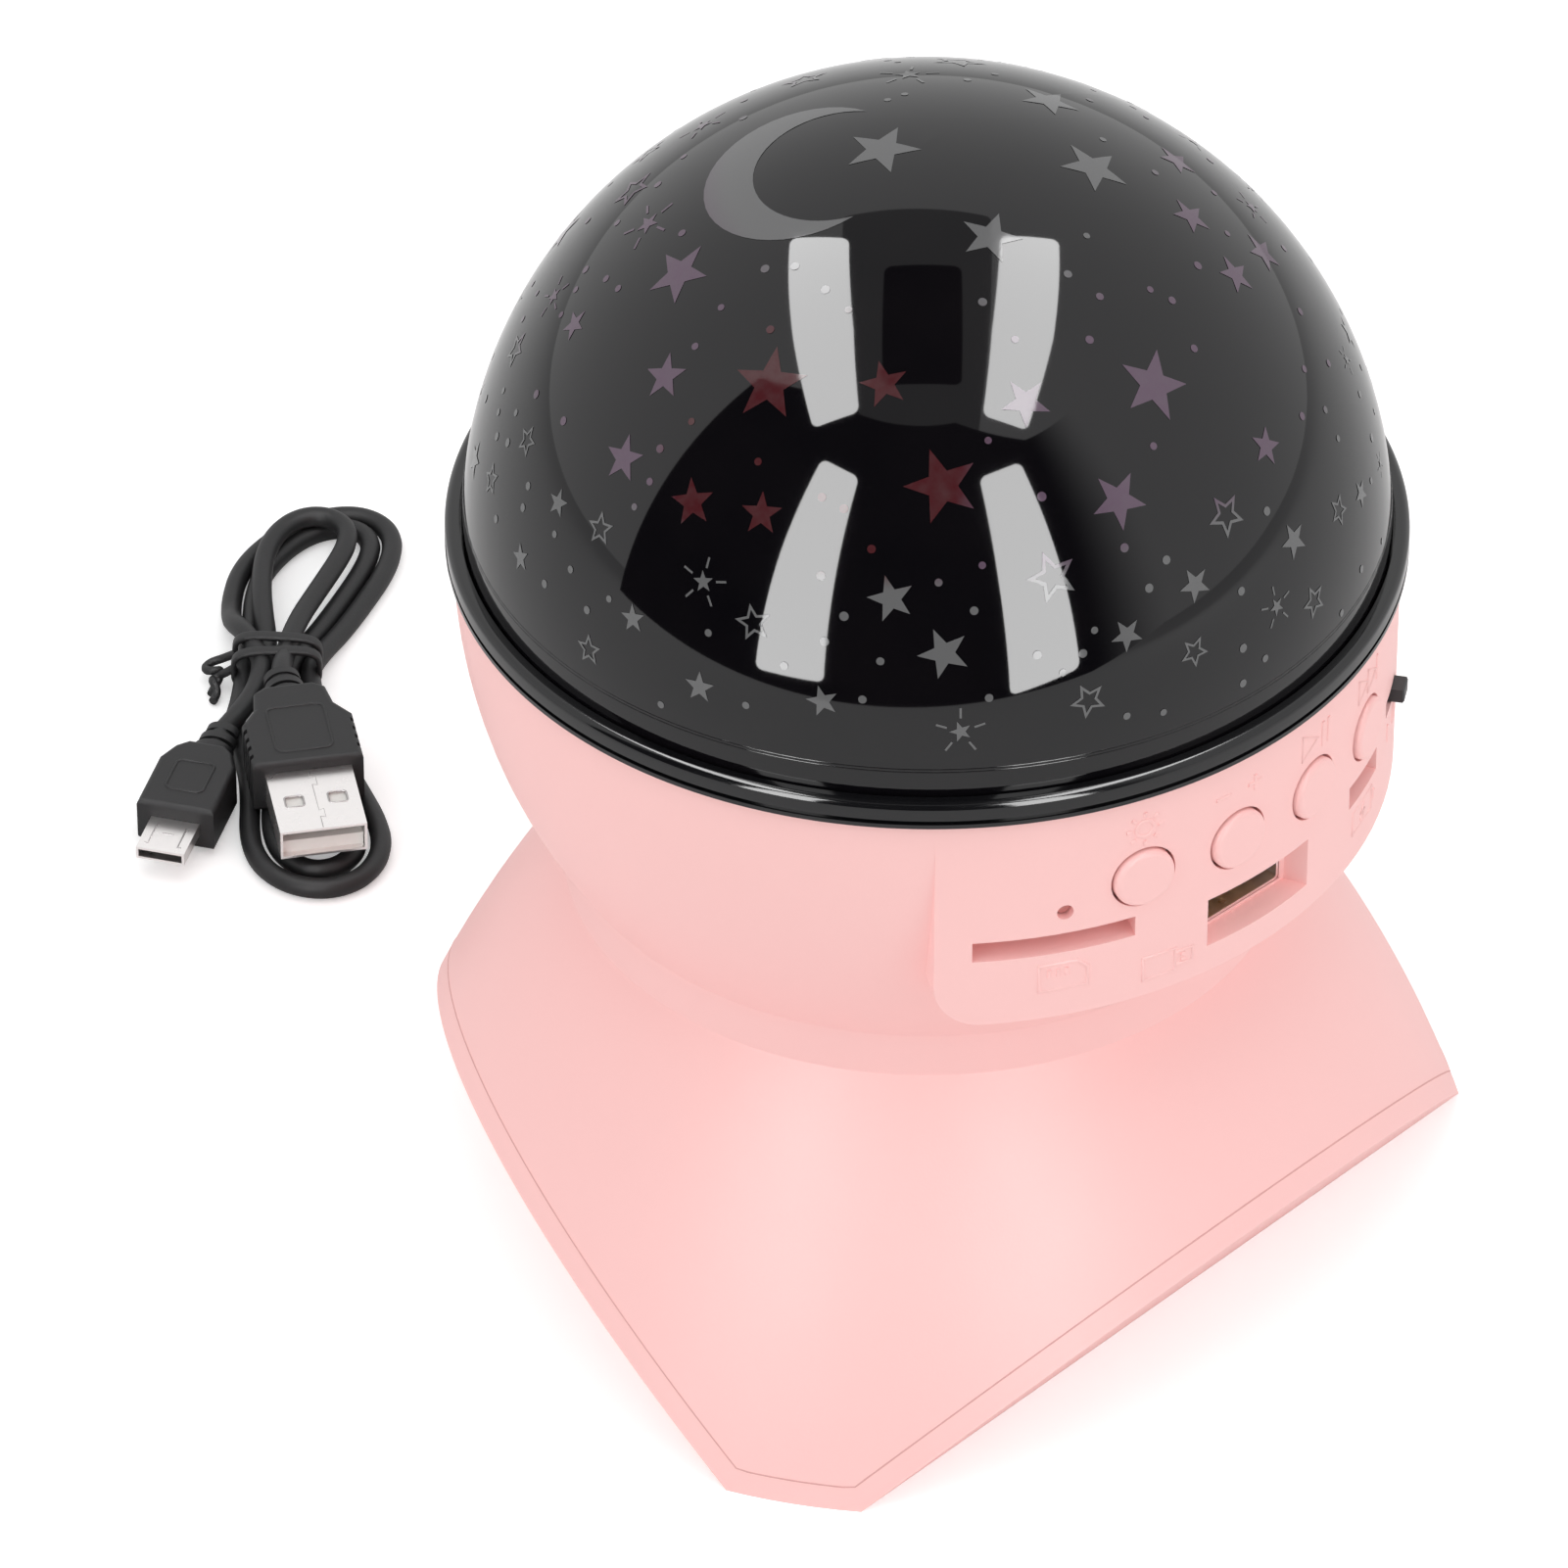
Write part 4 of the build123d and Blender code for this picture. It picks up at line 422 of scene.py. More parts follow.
raised_mark("mark_card", -30.4, 76.6,
            [[(-2.2, -1.4), (-2.2, 1.4), (1.3, 1.4), (2.2, 0.6), (2.2, -1.4), (-2.2, -1.4)],
             [(-1.3, 0.9), (-1.3, 0.1)], [(-0.5, 0.9), (-0.5, 0.1)], [(0.3, 0.9), (0.3, 0.1)]])
raised_mark("mark_usb", -16.6, 74.4,
            [[(-2.6, -1.2), (-2.6, 1.2), (0.6, 1.2), (0.6, -1.2), (-2.6, -1.2)],
             [(0.6, 0.7), (2.4, 0.7), (2.4, -0.7), (0.6, -0.7)],
             [(1.2, 0.3), (1.6, 0.3)], [(1.2, -0.3), (1.6, -0.3)]])
raised_mark("mark_charge", 20.1, 76.4,
            [[(-2.4, -1.2), (-2.4, 1.2), (2.0, 1.2), (2.0, -1.2), (-2.4, -1.2)],
             [(2.5, -0.5), (2.5, 0.5)], [(0.2, 0.8), (-0.6, 0), (0.2, 0), (-0.6, -0.8)]])
raised_mark("mark_switch", 32.0, 81.2,
            [[(-1.6, -0.9), (-1.6, 0.9)], circle_stroke(1.6, 0, 0.9)])

# ---------------------------------------------------------------- dome
# A hemisphere of smoked plastic, so dark and glossy that it looks black, with
# two fine moulded lines round it just above the trim ring that it sits in.
dome_radius = 59.4 * MM
dome_centre = Vector((0, 0, 103.9 * MM))
dome_line_heights = {"dome_line_lower": 109.5, "dome_line_upper": 109.9}
dome_line, dome_line_sunk, dome_line_steps = 0.12, 0.09, 240

black_gloss, tree = new_material("smoked gloss plastic")
place = node(tree, "TexCoord").outputs["Object"]
slow = node(tree, "TexNoise", Vector=place, Scale=16.0, Detail=1.0).outputs[0]
ripple = node(tree, "Bump", Strength=0.5, Distance=0.00003, Height=slow)
haze = node(tree, "TexNoise", Vector=place, Scale=60.0, Detail=4.0).outputs[0]
polish = maths(tree, "MULTIPLY_ADD", haze, 0.03, 0.02)
tint = blend(tree, haze, (0.002, 0.002, 0.003, 1), (0.006, 0.005, 0.006, 1))
glass = node(tree, "BsdfPrincipled", Base_Color=tint, Roughness=polish,
             Normal=ripple.outputs[0], IOR=1.49)
node(tree, "OutputMaterial", Surface=glass.outputs[0])
finish(black_gloss, "dome_shell")

for name, height in dome_line_heights.items():
    half_chord = math.sqrt((dome_radius / MM) ** 2 - (height - dome_centre.z / MM) ** 2)
    reach = half_chord - dome_line_sunk
    path = []
    for i in range(dome_line_steps + 1):
        turn = 2 * math.pi * (i % dome_line_steps) / dome_line_steps
        path.append((reach * math.cos(turn), reach * math.sin(turn), height))
    fine_lines(name, [path], dome_line, black_gloss, "dome")

# ---------------------------------------------------------------- trim ring
# A polished black ring that turns with the dome. It covers the joint with the
# bowl and its lower lip hangs just over the rim. It's turned here from its
# section in fine steps, so that the reflections run evenly round its crown.
ring_black = moulding("polished black trim", (0.006, 0.006, 0.007), 0.10, drift=0.3,
                      grain=300.0, depth=0.000004, IOR=1.5)
crown_middle, crown_radius, crown_steps = (60.5, 105.1), 1.0, 8
ring_steps, ring_edge_angle = 288, 30
ring_section = [(53.5, 102.5), (61.5, 102.5), (61.5, 103.1), (61.0, 103.1), (61.0, 103.7),
                (61.5, 103.7)]
for i in range(crown_steps + 1):
    turn = math.radians(90 * i / crown_steps)
    ring_section.append((crown_middle[0] + crown_radius * math.cos(turn),
                         crown_middle[1] + crown_radius * math.sin(turn)))
ring_section += [(59.65, 106.1), (59.65, 103.4), (57.55, 103.4), (57.55, 105.1), (53.5, 105.1)]
shape = bmesh.new()
section = bmesh.ops.create_circle(shape, segments=len(ring_section), radius=1.0)["verts"]
for vertex, (reach, height) in zip(section, ring_section):
    vertex.co = (reach * MM, 0, height * MM)
bmesh.ops.spin(shape, geom=shape.verts[:] + shape.edges[:], cent=(0, 0, 0), axis=(0, 0, 1),
               angle=2 * math.pi, steps=ring_steps, use_merge=True)
bmesh.ops.recalc_face_normals(shape, faces=shape.faces)
for face in shape.faces:
    face.smooth = True
for edge in shape.edges:
    edge.smooth = edge.calc_face_angle(0) < math.radians(ring_edge_angle)
dome_trim = mesh_object("dome_trim", shape)
dome_trim.data.materials.append(ring_black)
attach(dome_trim, "dome")
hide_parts("trim_ring")


# ---------------------------------------------------------------- dome prints
# Clear windows left in the smoked coat, for the light to shine through: solid
# and outlined stars, small stars with rays, dots and one crescent moon. Each is
# a thin flat shape laid on the dome, and all of them turn with it.
print_lift = 0.045
star_waist, outline_waist, outline_width = 0.41, 0.46, 0.13
rayed_core, ray_middle, ray_reach, ray_width = 0.45, 0.78, 0.22, 0.045
moon_sweep, bite_sweep, bite_middle, bite_radius = 125, 102, 0.37, 0.84


def outward_from(east, north):
    """The direction out of the dome's centre, east of the front and up, in degrees."""
    turn, rise = math.radians(east), math.radians(north)
    return Vector((math.sin(turn) * math.cos(rise), -math.cos(turn) * math.cos(rise),
                   math.sin(rise)))


def on_dome(east, north, across, up):
    """The place on the dome that is across and up, in mm, from a point given in degrees."""
    out = outward_from(east, north)
    side = Vector((math.cos(math.radians(east)), math.sin(math.radians(east)), 0))
    over = out.cross(side)
    point = out * dome_radius + (side * across + over * up) * MM
    return dome_centre + point.normalized() * (dome_radius + print_lift * MM)


def pinch(shape, radius, waist, turned):
    """Draws every second point of a ten-sided disc inward, which makes a star."""
    for vertex in shape.verts:
        if vertex.co.length > radius / 2:
            step = round(math.atan2(vertex.co.x, vertex.co.y) / math.radians(36))
            if step % 2:
                vertex.co *= waist
    spin = Euler((0, 0, turned))
    for vertex in shape.verts:
        vertex.co.rotate(spin)


def star_shape(radius, turned):
    shape = bmesh.new()
    bmesh.ops.create_circle(shape, cap_ends=True, cap_tris=True, segments=10, radius=radius)
    pinch(shape, radius, star_waist, turned)
    bmesh.ops.subdivide_edges(shape, edges=shape.edges[:], cuts=2, use_grid_fill=True)
    return shape


def outline_shape(radius, turned):
    shape = bmesh.new()
    bmesh.ops.create_circle(shape, cap_ends=True, segments=10, radius=radius)
    pinch(shape, radius, outline_waist, turned)
    bmesh.ops.inset_individual(shape, faces=shape.faces[:], thickness=outline_width * radius,
                               use_even_offset=True)
    middle = max(shape.faces, key=lambda face: len(face.verts))
    bmesh.ops.delete(shape, geom=[middle], context="FACES")
    bmesh.ops.subdivide_edges(shape, edges=shape.edges[:], cuts=1, use_grid_fill=True)
    return shape


def rayed_shape(radius, turned):
    shape = star_shape(radius * rayed_core, turned)
    for i in range(5):
        added = bmesh.ops.create_grid(shape, x_segments=2, y_segments=1, size=1.0)["verts"]
        spin = Euler((0, 0, turned + math.radians(72 * i)))
        for vertex in added:
            vertex.co = Vector((radius * (ray_middle + ray_reach * vertex.co.x),
                                ray_width * radius * vertex.co.y, 0))
            vertex.co.rotate(spin)
    return shape


def dot_shape(radius, turned):
    shape = bmesh.new()
    bmesh.ops.create_circle(shape, cap_ends=True, cap_tris=True, segments=14, radius=radius)
    return shape


def moon_shape(radius, turned):
    shape = bmesh.new()
    bmesh.ops.create_grid(shape, x_segments=30, y_segments=4, size=1.0)
    for vertex in shape.verts:
        outer = math.radians(moon_sweep) * vertex.co.x
        inner = math.radians(bite_sweep) * vertex.co.x
        rim = Vector((-math.cos(outer), math.sin(outer), 0))
        bite = Vector((bite_middle - bite_radius * math.cos(inner),
                       bite_radius * math.sin(inner), 0))
        vertex.co = rim.lerp(bite, (vertex.co.y + 1) / 2) * radius
    spin = Euler((0, 0, turned))
    for vertex in shape.verts:
        vertex.co.rotate(spin)
    return shape


print_kinds = {"star": star_shape, "outline": outline_shape, "rayed": rayed_shape,
               "dot": dot_shape, "moon": moon_shape}
print_growth = {"star": 1.12, "outline": 1.12}
# Each print has its kind, its place east of the front and up in degrees, its
# radius in mm and how far it is turned. The front is set out one by one.
prints = [
    ("moon", -129, 74, 13.2, 1.35),
    ("star", -122, 84, 4.4, 0.9), ("star", 41, 70, 4.2, 0.4), ("star", 86, 70, 3.6, 1.0),
    ("star", 60, 57, 2.6, 0.2), ("star", 31, 49, 2.6, 0.7), ("star", -113, 55, 4.0, 0.3),
    ("star", -124, 40, 2.0, 0.1), ("star", -98, 45, 2.8, 0.5), ("star", -78, 50, 4.4, 0.25),
    ("star", -56, 53, 2.8, 0.35), ("star", -23, 72, 3.6, 0.6), ("star", -29, 50, 2.9, 0.4),
    ("star", -4, 47, 4.3, 0.55), ("star", -97, 34, 2.8, 0.3), ("star", -83, 33.5, 2.8, 0.45),
    ("star", -72, 35, 2.5, 0.2), ("star", -45, 41, 4.3, 0.31), ("star", -18, 36, 3.4, 0.5),
    ("star", 10, 33, 2.3, 0.6), ("star", 8, 21, 2.2, 0.15), ("star", -105, 24, 1.7, 0.2),
    ("star", -109, 14, 1.7, 0.5), ("star", -52, 27.5, 2.7, 0.31), ("star", -45, 21, 3.0, 0.4),
    ("star", -87, 17, 1.7, 0.3), ("star", -76, 12, 1.9, 0.1), ("star", -60, 14, 1.9, 0.33),
    ("star", -21, 20, 2.0, 0.45), ("star", -10, 23, 2.1, 0.3), ("star", 26, 17, 1.7, 0.2),
    ("outline", -96, 25, 2.0, 0.3), ("outline", -122, 17, 2.0, 0.5),
    ("outline", -117, 26, 1.9, 0.1), ("outline", -93, 10, 1.9, 0.2),
    ("outline", -70, 22, 2.2, 0.35), ("outline", -30, 29, 3.0, 0.25),
    ("outline", -2, 29, 2.6, 0.3), ("outline", -27, 13, 2.2, 0.4),
    ("outline", -12, 15, 1.9, 0.6), ("outline", 9, 12, 2.1, 0.2), ("outline", 19, 19, 1.9, 0.5),
    ("rayed", -78, 25, 3.2, 0.3), ("rayed", -43, 11, 3.2, 0.31), ("rayed", 2, 15, 2.8, 0.3),
]


def spread(first, second):
    """The angle in degrees between two prints."""
    turn = math.radians(first[1] - second[1])
    low, high = math.radians(first[2]), math.radians(second[2])
    both = math.sin(low) * math.sin(high) + math.cos(low) * math.cos(high) * math.cos(turn)
    return math.degrees(math.acos(max(-1.0, min(1.0, both))))


def room_for(new, gap):
    """Whether a print clears all the others by a gap in degrees."""
    return all(spread(new, old) > math.degrees((new[3] + old[3]) / (dome_radius / MM)) + gap
               for old in prints)


# The back is filled at random, with smaller stars low down, and dots go all round.
star_gap, most_stars = 3.2, 104
dot_gap, most_prints = 1.6, 290
for attempt in range(420):
    kind = random.choice(("star", "star", "outline", "rayed"))
    north = math.degrees(math.asin(random.uniform(0.17, 0.97)))
    east = random.uniform(35, 232)
    radius = random.uniform(1.7, 2.4) if north < 30 else random.uniform(2.4, 4.2)
    new = (kind, east, north, radius, random.uniform(0, 1.2))
    if room_for(new, star_gap) and len(prints) < most_stars:
        prints.append(new)
for attempt in range(1500):
    north = math.degrees(math.asin(random.uniform(0.12, 0.985)))
    new = ("dot", random.uniform(-180, 180), north, random.uniform(0.45, 0.6), 0.0)
    if room_for(new, dot_gap) and len(prints) < most_prints:
        prints.append(new)

gathered = bmesh.new()
for kind, east, north, radius, turned in prints:
    shape = print_kinds[kind](radius * print_growth.get(kind, 1.0), turned)
    for vertex in shape.verts:
        vertex.co = on_dome(east, north, vertex.co.x, vertex.co.y)
    bmesh.ops.recalc_face_normals(shape, faces=shape.faces)
    for face in shape.faces:
        if face.normal.dot(face.calc_center_median() - dome_centre) < 0:
            face.normal_flip()
    piece = bpy.data.meshes.new("one print")
    shape.to_mesh(piece)
    shape.free()
    gathered.from_mesh(piece)
    bpy.data.meshes.remove(piece)
star_prints = mesh_object("star_prints", gathered)
outward = [(vertex.co - dome_centre).normalized() for vertex in star_prints.data.vertices]
for face in star_prints.data.polygons:
    face.use_smooth = True
star_prints.data.normals_split_custom_set_from_vertices(outward)

# The windows are grey near the rim and the crown and tinted between. The tint is
# lilac, and deepens to wine red round one place on the dome's left. That wine red
# is painted shade: it darkens the windows where the dome mirrors the black curtain
# towards the camera.
grey_film, lilac_film = (0.125, 0.125, 0.127, 1), (0.105, 0.065, 0.100, 1)
painted_shade_wine = (0.062, 0.011, 0.014, 1)
tint_starts, tint_is_full, tint_thins, tint_ends = 132 * MM, 135 * MM, 154 * MM, 158 * MM
painted_shade_middle, painted_shade_starts, painted_shade_is_full = outward_from(-66, 42), 22, 17

clear_film, tree = new_material("clear star windows")
place = node(tree, "TexCoord").outputs["Object"]
height = node(tree, "SeparateXYZ", Vector=place).outputs["Z"]
above_rim = ramp(tree, height, tint_starts, tint_is_full)
below_crown = ramp(tree, height, tint_ends, tint_thins)
tinted = maths(tree, "MULTIPLY", above_rim, below_crown)
speckle = node(tree, "TexNoise", Vector=place, Scale=700.0, Detail=3.0).outputs[0]
tinted = maths(tree, "MULTIPLY", tinted, maths(tree, "MULTIPLY_ADD", speckle, 0.3, 0.8))
# Painted shade: the windows deepen to wine red where the dome mirrors the dark curtain.
along = node(tree, "VectorMath", {"operation": "DOT_PRODUCT"}, _0=place, _1=painted_shade_middle)
past_centre = maths(tree, "SUBTRACT", along.outputs["Value"], dome_centre.dot(painted_shade_middle))
painted_shade_share = ramp(tree, past_centre, dome_radius * math.cos(math.radians(painted_shade_starts)),
               dome_radius * math.cos(math.radians(painted_shade_is_full)))
tint = blend(tree, tinted, grey_film, blend(tree, painted_shade_share, lilac_film, painted_shade_wine))
dimple = node(tree, "Bump", Strength=0.15, Distance=0.00003, Height=speckle)
film = node(tree, "BsdfPrincipled", Base_Color=tint, Normal=dimple.outputs[0],
            Roughness=maths(tree, "MULTIPLY_ADD", speckle, 0.05, 0.04), IOR=1.5)
node(tree, "OutputMaterial", Surface=film.outputs[0])
star_prints.data.materials.append(clear_film)
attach(star_prints, "dome")


# ---------------------------------------------------------------- metal parts
# Folded and nickel-plated steel round the sockets, switches and plugs, drawn
# steel for the motor, zinc-plated screws and polished pins.
def metal(name, colour, sheen, streak=(260.0, 260.0, 1400.0), depth=0.00001, uneven=0.16):
    """Metal with fine streaks along one way, and slow stains in its sheen."""
    made, tree = new_material(name)
    place = node(tree, "TexCoord").outputs["Object"]
    drawn = node(tree, "Mapping", Vector=place, Scale=streak).outputs[0]
    lines = node(tree, "TexNoise", Vector=drawn, Scale=4.0, Detail=4.0).outputs[0]
    stain = node(tree, "TexNoise", Vector=place, Scale=180.0, Detail=3.0).outputs[0]
    lift = maths(tree, "MULTIPLY_ADD", maths(tree, "SUBTRACT", lines, 0.5), uneven, 1.0)
    shade = node(tree, "HueSaturation", Color=(*colour, 1), Value=lift)
    rough = maths(tree, "MULTIPLY_ADD", maths(tree, "SUBTRACT", stain, 0.5), 1.5 * uneven, sheen)
    brushed = node(tree, "Bump", Strength=0.3, Distance=depth, Height=lines)
    body = node(tree, "BsdfPrincipled", Base_Color=shade.outputs[0], Roughness=rough,
                Normal=brushed.outputs[0], Metallic=1.0)
    node(tree, "OutputMaterial", Surface=body.outputs[0])
    return made


nickel = metal("nickel-plated steel", (0.86, 0.83, 0.82), 0.28, depth=0.000002, uneven=0.05)
zinc = metal("zinc-plated steel", (0.60, 0.61, 0.64), 0.34)
polished = metal("polished steel", (0.78, 0.78, 0.78), 0.14)
can_steel = metal("drawn motor steel", (0.66, 0.67, 0.70), 0.28, streak=(900.0, 900.0, 40.0))
gold = metal("gold-plated contacts", (0.85, 0.62, 0.27), 0.22)
finish(nickel, "usb_socket_shell", "card_reader", "micro_usb_socket", "slide_switch_body",
       "tact_switches", "usb_plug_shell", "micro_plug_shell")
finish(zinc, "base_screws", "board_screws", "deck_screws", "housing_screws", "motor_screws")
finish(polished, "roller_pins", "motor_shaft", "board_spacers")
finish(can_steel, "motor")
finish(gold, "usb_contacts")

# ---------------------------------------------------------------- plastic fittings
# White mouldings carry the drive and the light inside, nylon wheels turn the
# dome, black mouldings sit behind the keys, and grey rubber pads are the feet.
white_plastic = moulding("white moulded plastic", (0.80, 0.80, 0.77), 0.38)
finish(white_plastic, "deck_plate", "light_post", "battery_cradle", "usb_plug_insert")
finish(moulding("natural nylon", (0.72, 0.70, 0.60), 0.34, drift=0.05, Subsurface_Weight=0.1),
       "drive_gear", "motor_pinion", "guide_roller_1", "guide_roller_2", "guide_roller_3")
finish(moulding("black fitting plastic", (0.020, 0.020, 0.022), 0.42, drift=0.3),
       "light_plunger", "dimmer_plunger", "play_plunger", "skip_plunger",
       "switch_knob", "speaker_frame")
finish(moulding("grey foot rubber", (0.12, 0.12, 0.12), 0.72, drift=0.25, grain=1500.0,
                depth=0.00008), "foot_pads")
finish(moulding("tan socket plastic", (0.44, 0.27, 0.16), 0.40, drift=0.2), "usb_socket_tongue")
finish(moulding("frosted light plastic", (0.86, 0.86, 0.86), 0.55, Subsurface_Weight=0.3),
       "light_diffuser")
finish(moulding("rosy light pipe", (0.62, 0.27, 0.25), 0.30, drift=0.1), "light_pipe")
finish(moulding("clear lamp lens", (0.90, 0.86, 0.66), 0.08, drift=0.1, depth=0.00001,
                Coat_Weight=0.6), "led_lamps")
finish(moulding("blue cell sleeve", (0.03, 0.15, 0.34), 0.22, drift=0.2), "battery_cell")
finish(moulding("speaker paper", (0.016, 0.016, 0.017), 0.80, drift=0.4, grain=900.0,
                depth=0.0001), "speaker_cone")
finish(moulding("grey gasket foam", (0.05, 0.05, 0.05), 0.95, drift=0.5, grain=1100.0,
                depth=0.0003), "speaker_gasket")
finish(moulding("sintered magnet", (0.06, 0.06, 0.065), 0.60, drift=0.3, grain=1800.0,
                depth=0.00008, Metallic=0.4), "speaker_magnet")


# ---------------------------------------------------------------- boards
# Glass-fibre boards under a glossy lacquer, with fine tracks that show as a
# paler pattern and small tinned pads.
def board(name, ground, track):
    """A lacquered board in its ground colour, with tracks and tinned pads."""
    made, tree = new_material(name)
    place = node(tree, "TexCoord").outputs["Object"]
    tracks = node(tree, "TexBrick", {"offset": 0.5, "squash": 0.7}, Vector=place, Scale=260.0,
                  Mortar_Size=0.06, Color1=(*ground, 1), Color2=(*ground, 1), Mortar=(*track, 1))
    pads = node(tree, "TexVoronoi", Vector=place, Scale=320.0, Randomness=0.25).outputs[0]
    tin = maths(tree, "LESS_THAN", pads, 0.17)
    face = blend(tree, tin, tracks.outputs[0], (0.62, 0.62, 0.60, 1))
    step = node(tree, "Bump", Strength=0.4, Distance=0.00003, Height=tracks.outputs["Fac"])
    gloss = maths(tree, "MULTIPLY_ADD", tin, 0.15, 0.22)
    body = node(tree, "BsdfPrincipled", Base_Color=face, Roughness=gloss,
                Normal=step.outputs[0])
    node(tree, "OutputMaterial", Surface=body.outputs[0])
    return made


finish(board("green board", (0.010, 0.085, 0.030), (0.022, 0.16, 0.06)),
       "main_board", "key_board")
finish(board("white board", (0.78, 0.78, 0.78), (0.66, 0.66, 0.66)), "light_board")


# ---------------------------------------------------------------- charging cable
# A flexible black cable folded into a flat hank of three turns above the tie
# and two below, with a USB plug at one end and a micro-USB plug at the other.
hank_place = (10.9, 129.8)
hank_turn = math.radians(-47.3)
cord_diameter = 2.9
soft_black = moulding("soft black cable plastic", (0.011, 0.011, 0.012), 0.52, drift=0.35,
                      grain=2600.0, depth=0.00005, Specular_IOR_Level=0.4)


def hank_point(across, along, height):
    """A place given along the hank, in mm, as a place in the room."""
    turned = (math.cos(hank_turn), math.sin(hank_turn))
    return ((hank_place[0] + turned[0] * across - turned[1] * along) * MM,
            (hank_place[1] + turned[1] * across + turned[0] * along) * MM, height * MM)


def bent_cord(name, routes, radius, curve_steps, round_steps):
    """A round soft black cord that bends smoothly along routes of places on the hank."""
    line = bpy.data.curves.new(name, "CURVE")
    line.dimensions = "3D"
    line.resolution_u = curve_steps
    line.bevel_depth = radius * MM
    line.bevel_resolution = round_steps
    line.use_fill_caps = True
    for places in routes:
        spline = line.splines.new("NURBS")
        spline.points.add(len(places) - 1)
        for point, place in zip(spline.points, places):
            point.co = (*hank_point(*place), 1)
        spline.order_u = 3
        spline.use_endpoint_u = True
    made = bpy.data.objects.new(name, line)
    scene.collection.objects.link(made)
    line.materials.append(soft_black)
    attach(made, "base")
    return made


# A strand is low on the floor, or high on top of another one.
low, high = cord_diameter / 2, 4.3
route = [
    # up from the USB plug, through the tie and round the front turn
    (-1.5, -2.9, 6.95), (-1.6, -0.6, 6.9), (-1.4, 2.4, 5.9), (-1.2, 5.6, 5.3), (-0.6, 9.6, 5.2),
    (0.4, 14.0, 4.9), (1.8, 18.6, 4.5), (3.4, 23.2, 4.35), (5.0, 27.8, high), (6.1, 31.8, high),
    (5.9, 35.4, high), (3.8, 37.8, high), (0.6, 38.3, high), (-2.3, 36.6, high),
    (-4.2, 33.5, high), (-5.3, 29.6, high), (-5.6, 25.2, 4.25), (-5.5, 20.6, 4.2),
    (-5.0, 16.0, 3.9), (-4.3, 11.4, 3.0), (-4.0, 6.8, 2.35),
    # round the short turn under the USB plug
    (-4.0, 2.2, 2.35), (-4.1, -2.2, 1.8), (-3.9, -6.8, low), (-3.1, -11.8, low),
    (-2.2, -17.0, low), (-1.8, -22.4, low), (-1.8, -27.6, low), (-1.2, -32.6, low),
    (0.8, -36.8, low), (4.1, -39.3, low), (7.7, -38.6, low), (10.1, -35.4, low),
    (10.3, -31.0, low), (8.9, -26.6, low), (7.1, -22.0, low), (5.2, -17.4, low),
    (3.4, -12.6, low), (1.6, -7.6, low), (0.1, -2.6, 1.6), (-0.8, 1.6, 2.3), (-0.9, 5.4, 2.35),
    # round the middle turn
    (0.6, 9.8, 2.1), (2.6, 14.4, 1.5), (4.5, 19.0, low), (6.3, 23.6, low), (7.9, 28.0, low),
    (9.0, 32.0, low), (9.3, 35.2, low), (8.2, 37.9, low), (5.7, 39.3, low), (2.6, 38.8, low),
    (-0.2, 37.0, low), (-2.6, 34.1, low), (-4.7, 30.5, low), (-6.2, 26.4, low), (-6.7, 22.0, low),
    (-6.7, 17.4, low), (-6.85, 12.8, 1.6), (-6.95, 8.2, 2.3),
    # round the long turn below the tie
    (-7.0, 3.4, 2.3), (-7.3, -1.4, 1.9), (-8.0, -5.6, 1.5), (-7.6, -10.0, low), (-6.2, -14.6, low),
    (-5.2, -19.6, low), (-4.8, -25.0, low), (-4.7, -30.2, low), (-3.9, -35.2, low),
    (-1.7, -39.6, low), (2.2, -42.6, low), (6.8, -43.3, low), (10.9, -41.2, low),
    (13.2, -37.2, low), (13.7, -32.6, low), (12.7, -28.0, low), (10.9, -23.4, low),
    (9.0, -18.8, low), (7.1, -14.0, low), (5.3, -9.0, low), (3.7, -4.0, 1.5), (2.5, 0.6, 2.2),
    (2.0, 4.8, 2.35),
    # round the outer turn and out over the tie to the micro-USB plug
    (3.5, 9.2, 2.0), (5.6, 13.8, 1.5), (7.6, 18.4, low), (9.4, 23.0, low), (11.1, 27.6, low),
    (12.2, 32.2, low), (12.3, 36.6, low), (10.6, 40.3, low), (6.9, 42.3, low), (2.5, 41.7, low),
    (-1.6, 39.3, low), (-5.0, 35.9, low), (-7.7, 31.6, low), (-9.3, 27.0, low), (-9.8, 22.2, low),
    (-9.7, 18.0, 1.7), (-9.1, 14.2, 3.4), (-7.8, 10.8, 5.0), (-6.1, 7.4, 5.4), (-4.7, 3.8, 5.35),
    (-4.4, 0.4, 5.3), (-5.2, -3.8, 5.0), (-7.1, -8.0, 4.5), (-9.0, -11.5, 4.35),
]
charging_lead = bent_cord("charging_lead", [route], cord_diameter / 2, 6, 5)
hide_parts("charging_cable")

# ---------------------------------------------------------------- plug grips
# Both plugs have a grip moulded over the metal shell in the same soft plastic,
# with a thin raised frame, a rounded rectangle, on its broad upper face.
usb_plug = (-1.5, -2.9, math.radians(-78.2))
micro_plug = (-9.0, -11.5, math.radians(-104.4))
usb_grip_top, micro_grip_top = 10.95, 7.75
frame_line, frame_sunk, frame_steps = 0.24, 0.08, 32
finish(soft_black, "usb_plug_body", "micro_plug_body")


def plug_point(plug, forward, sideways, height):
    """A place in mm, measured from where the cable enters the plug."""
    across = plug[0] + forward * math.cos(plug[2]) - sideways * math.sin(plug[2])
    along = plug[1] + forward * math.sin(plug[2]) + sideways * math.cos(plug[2])
    return [value / MM for value in hank_point(across, along, height)]


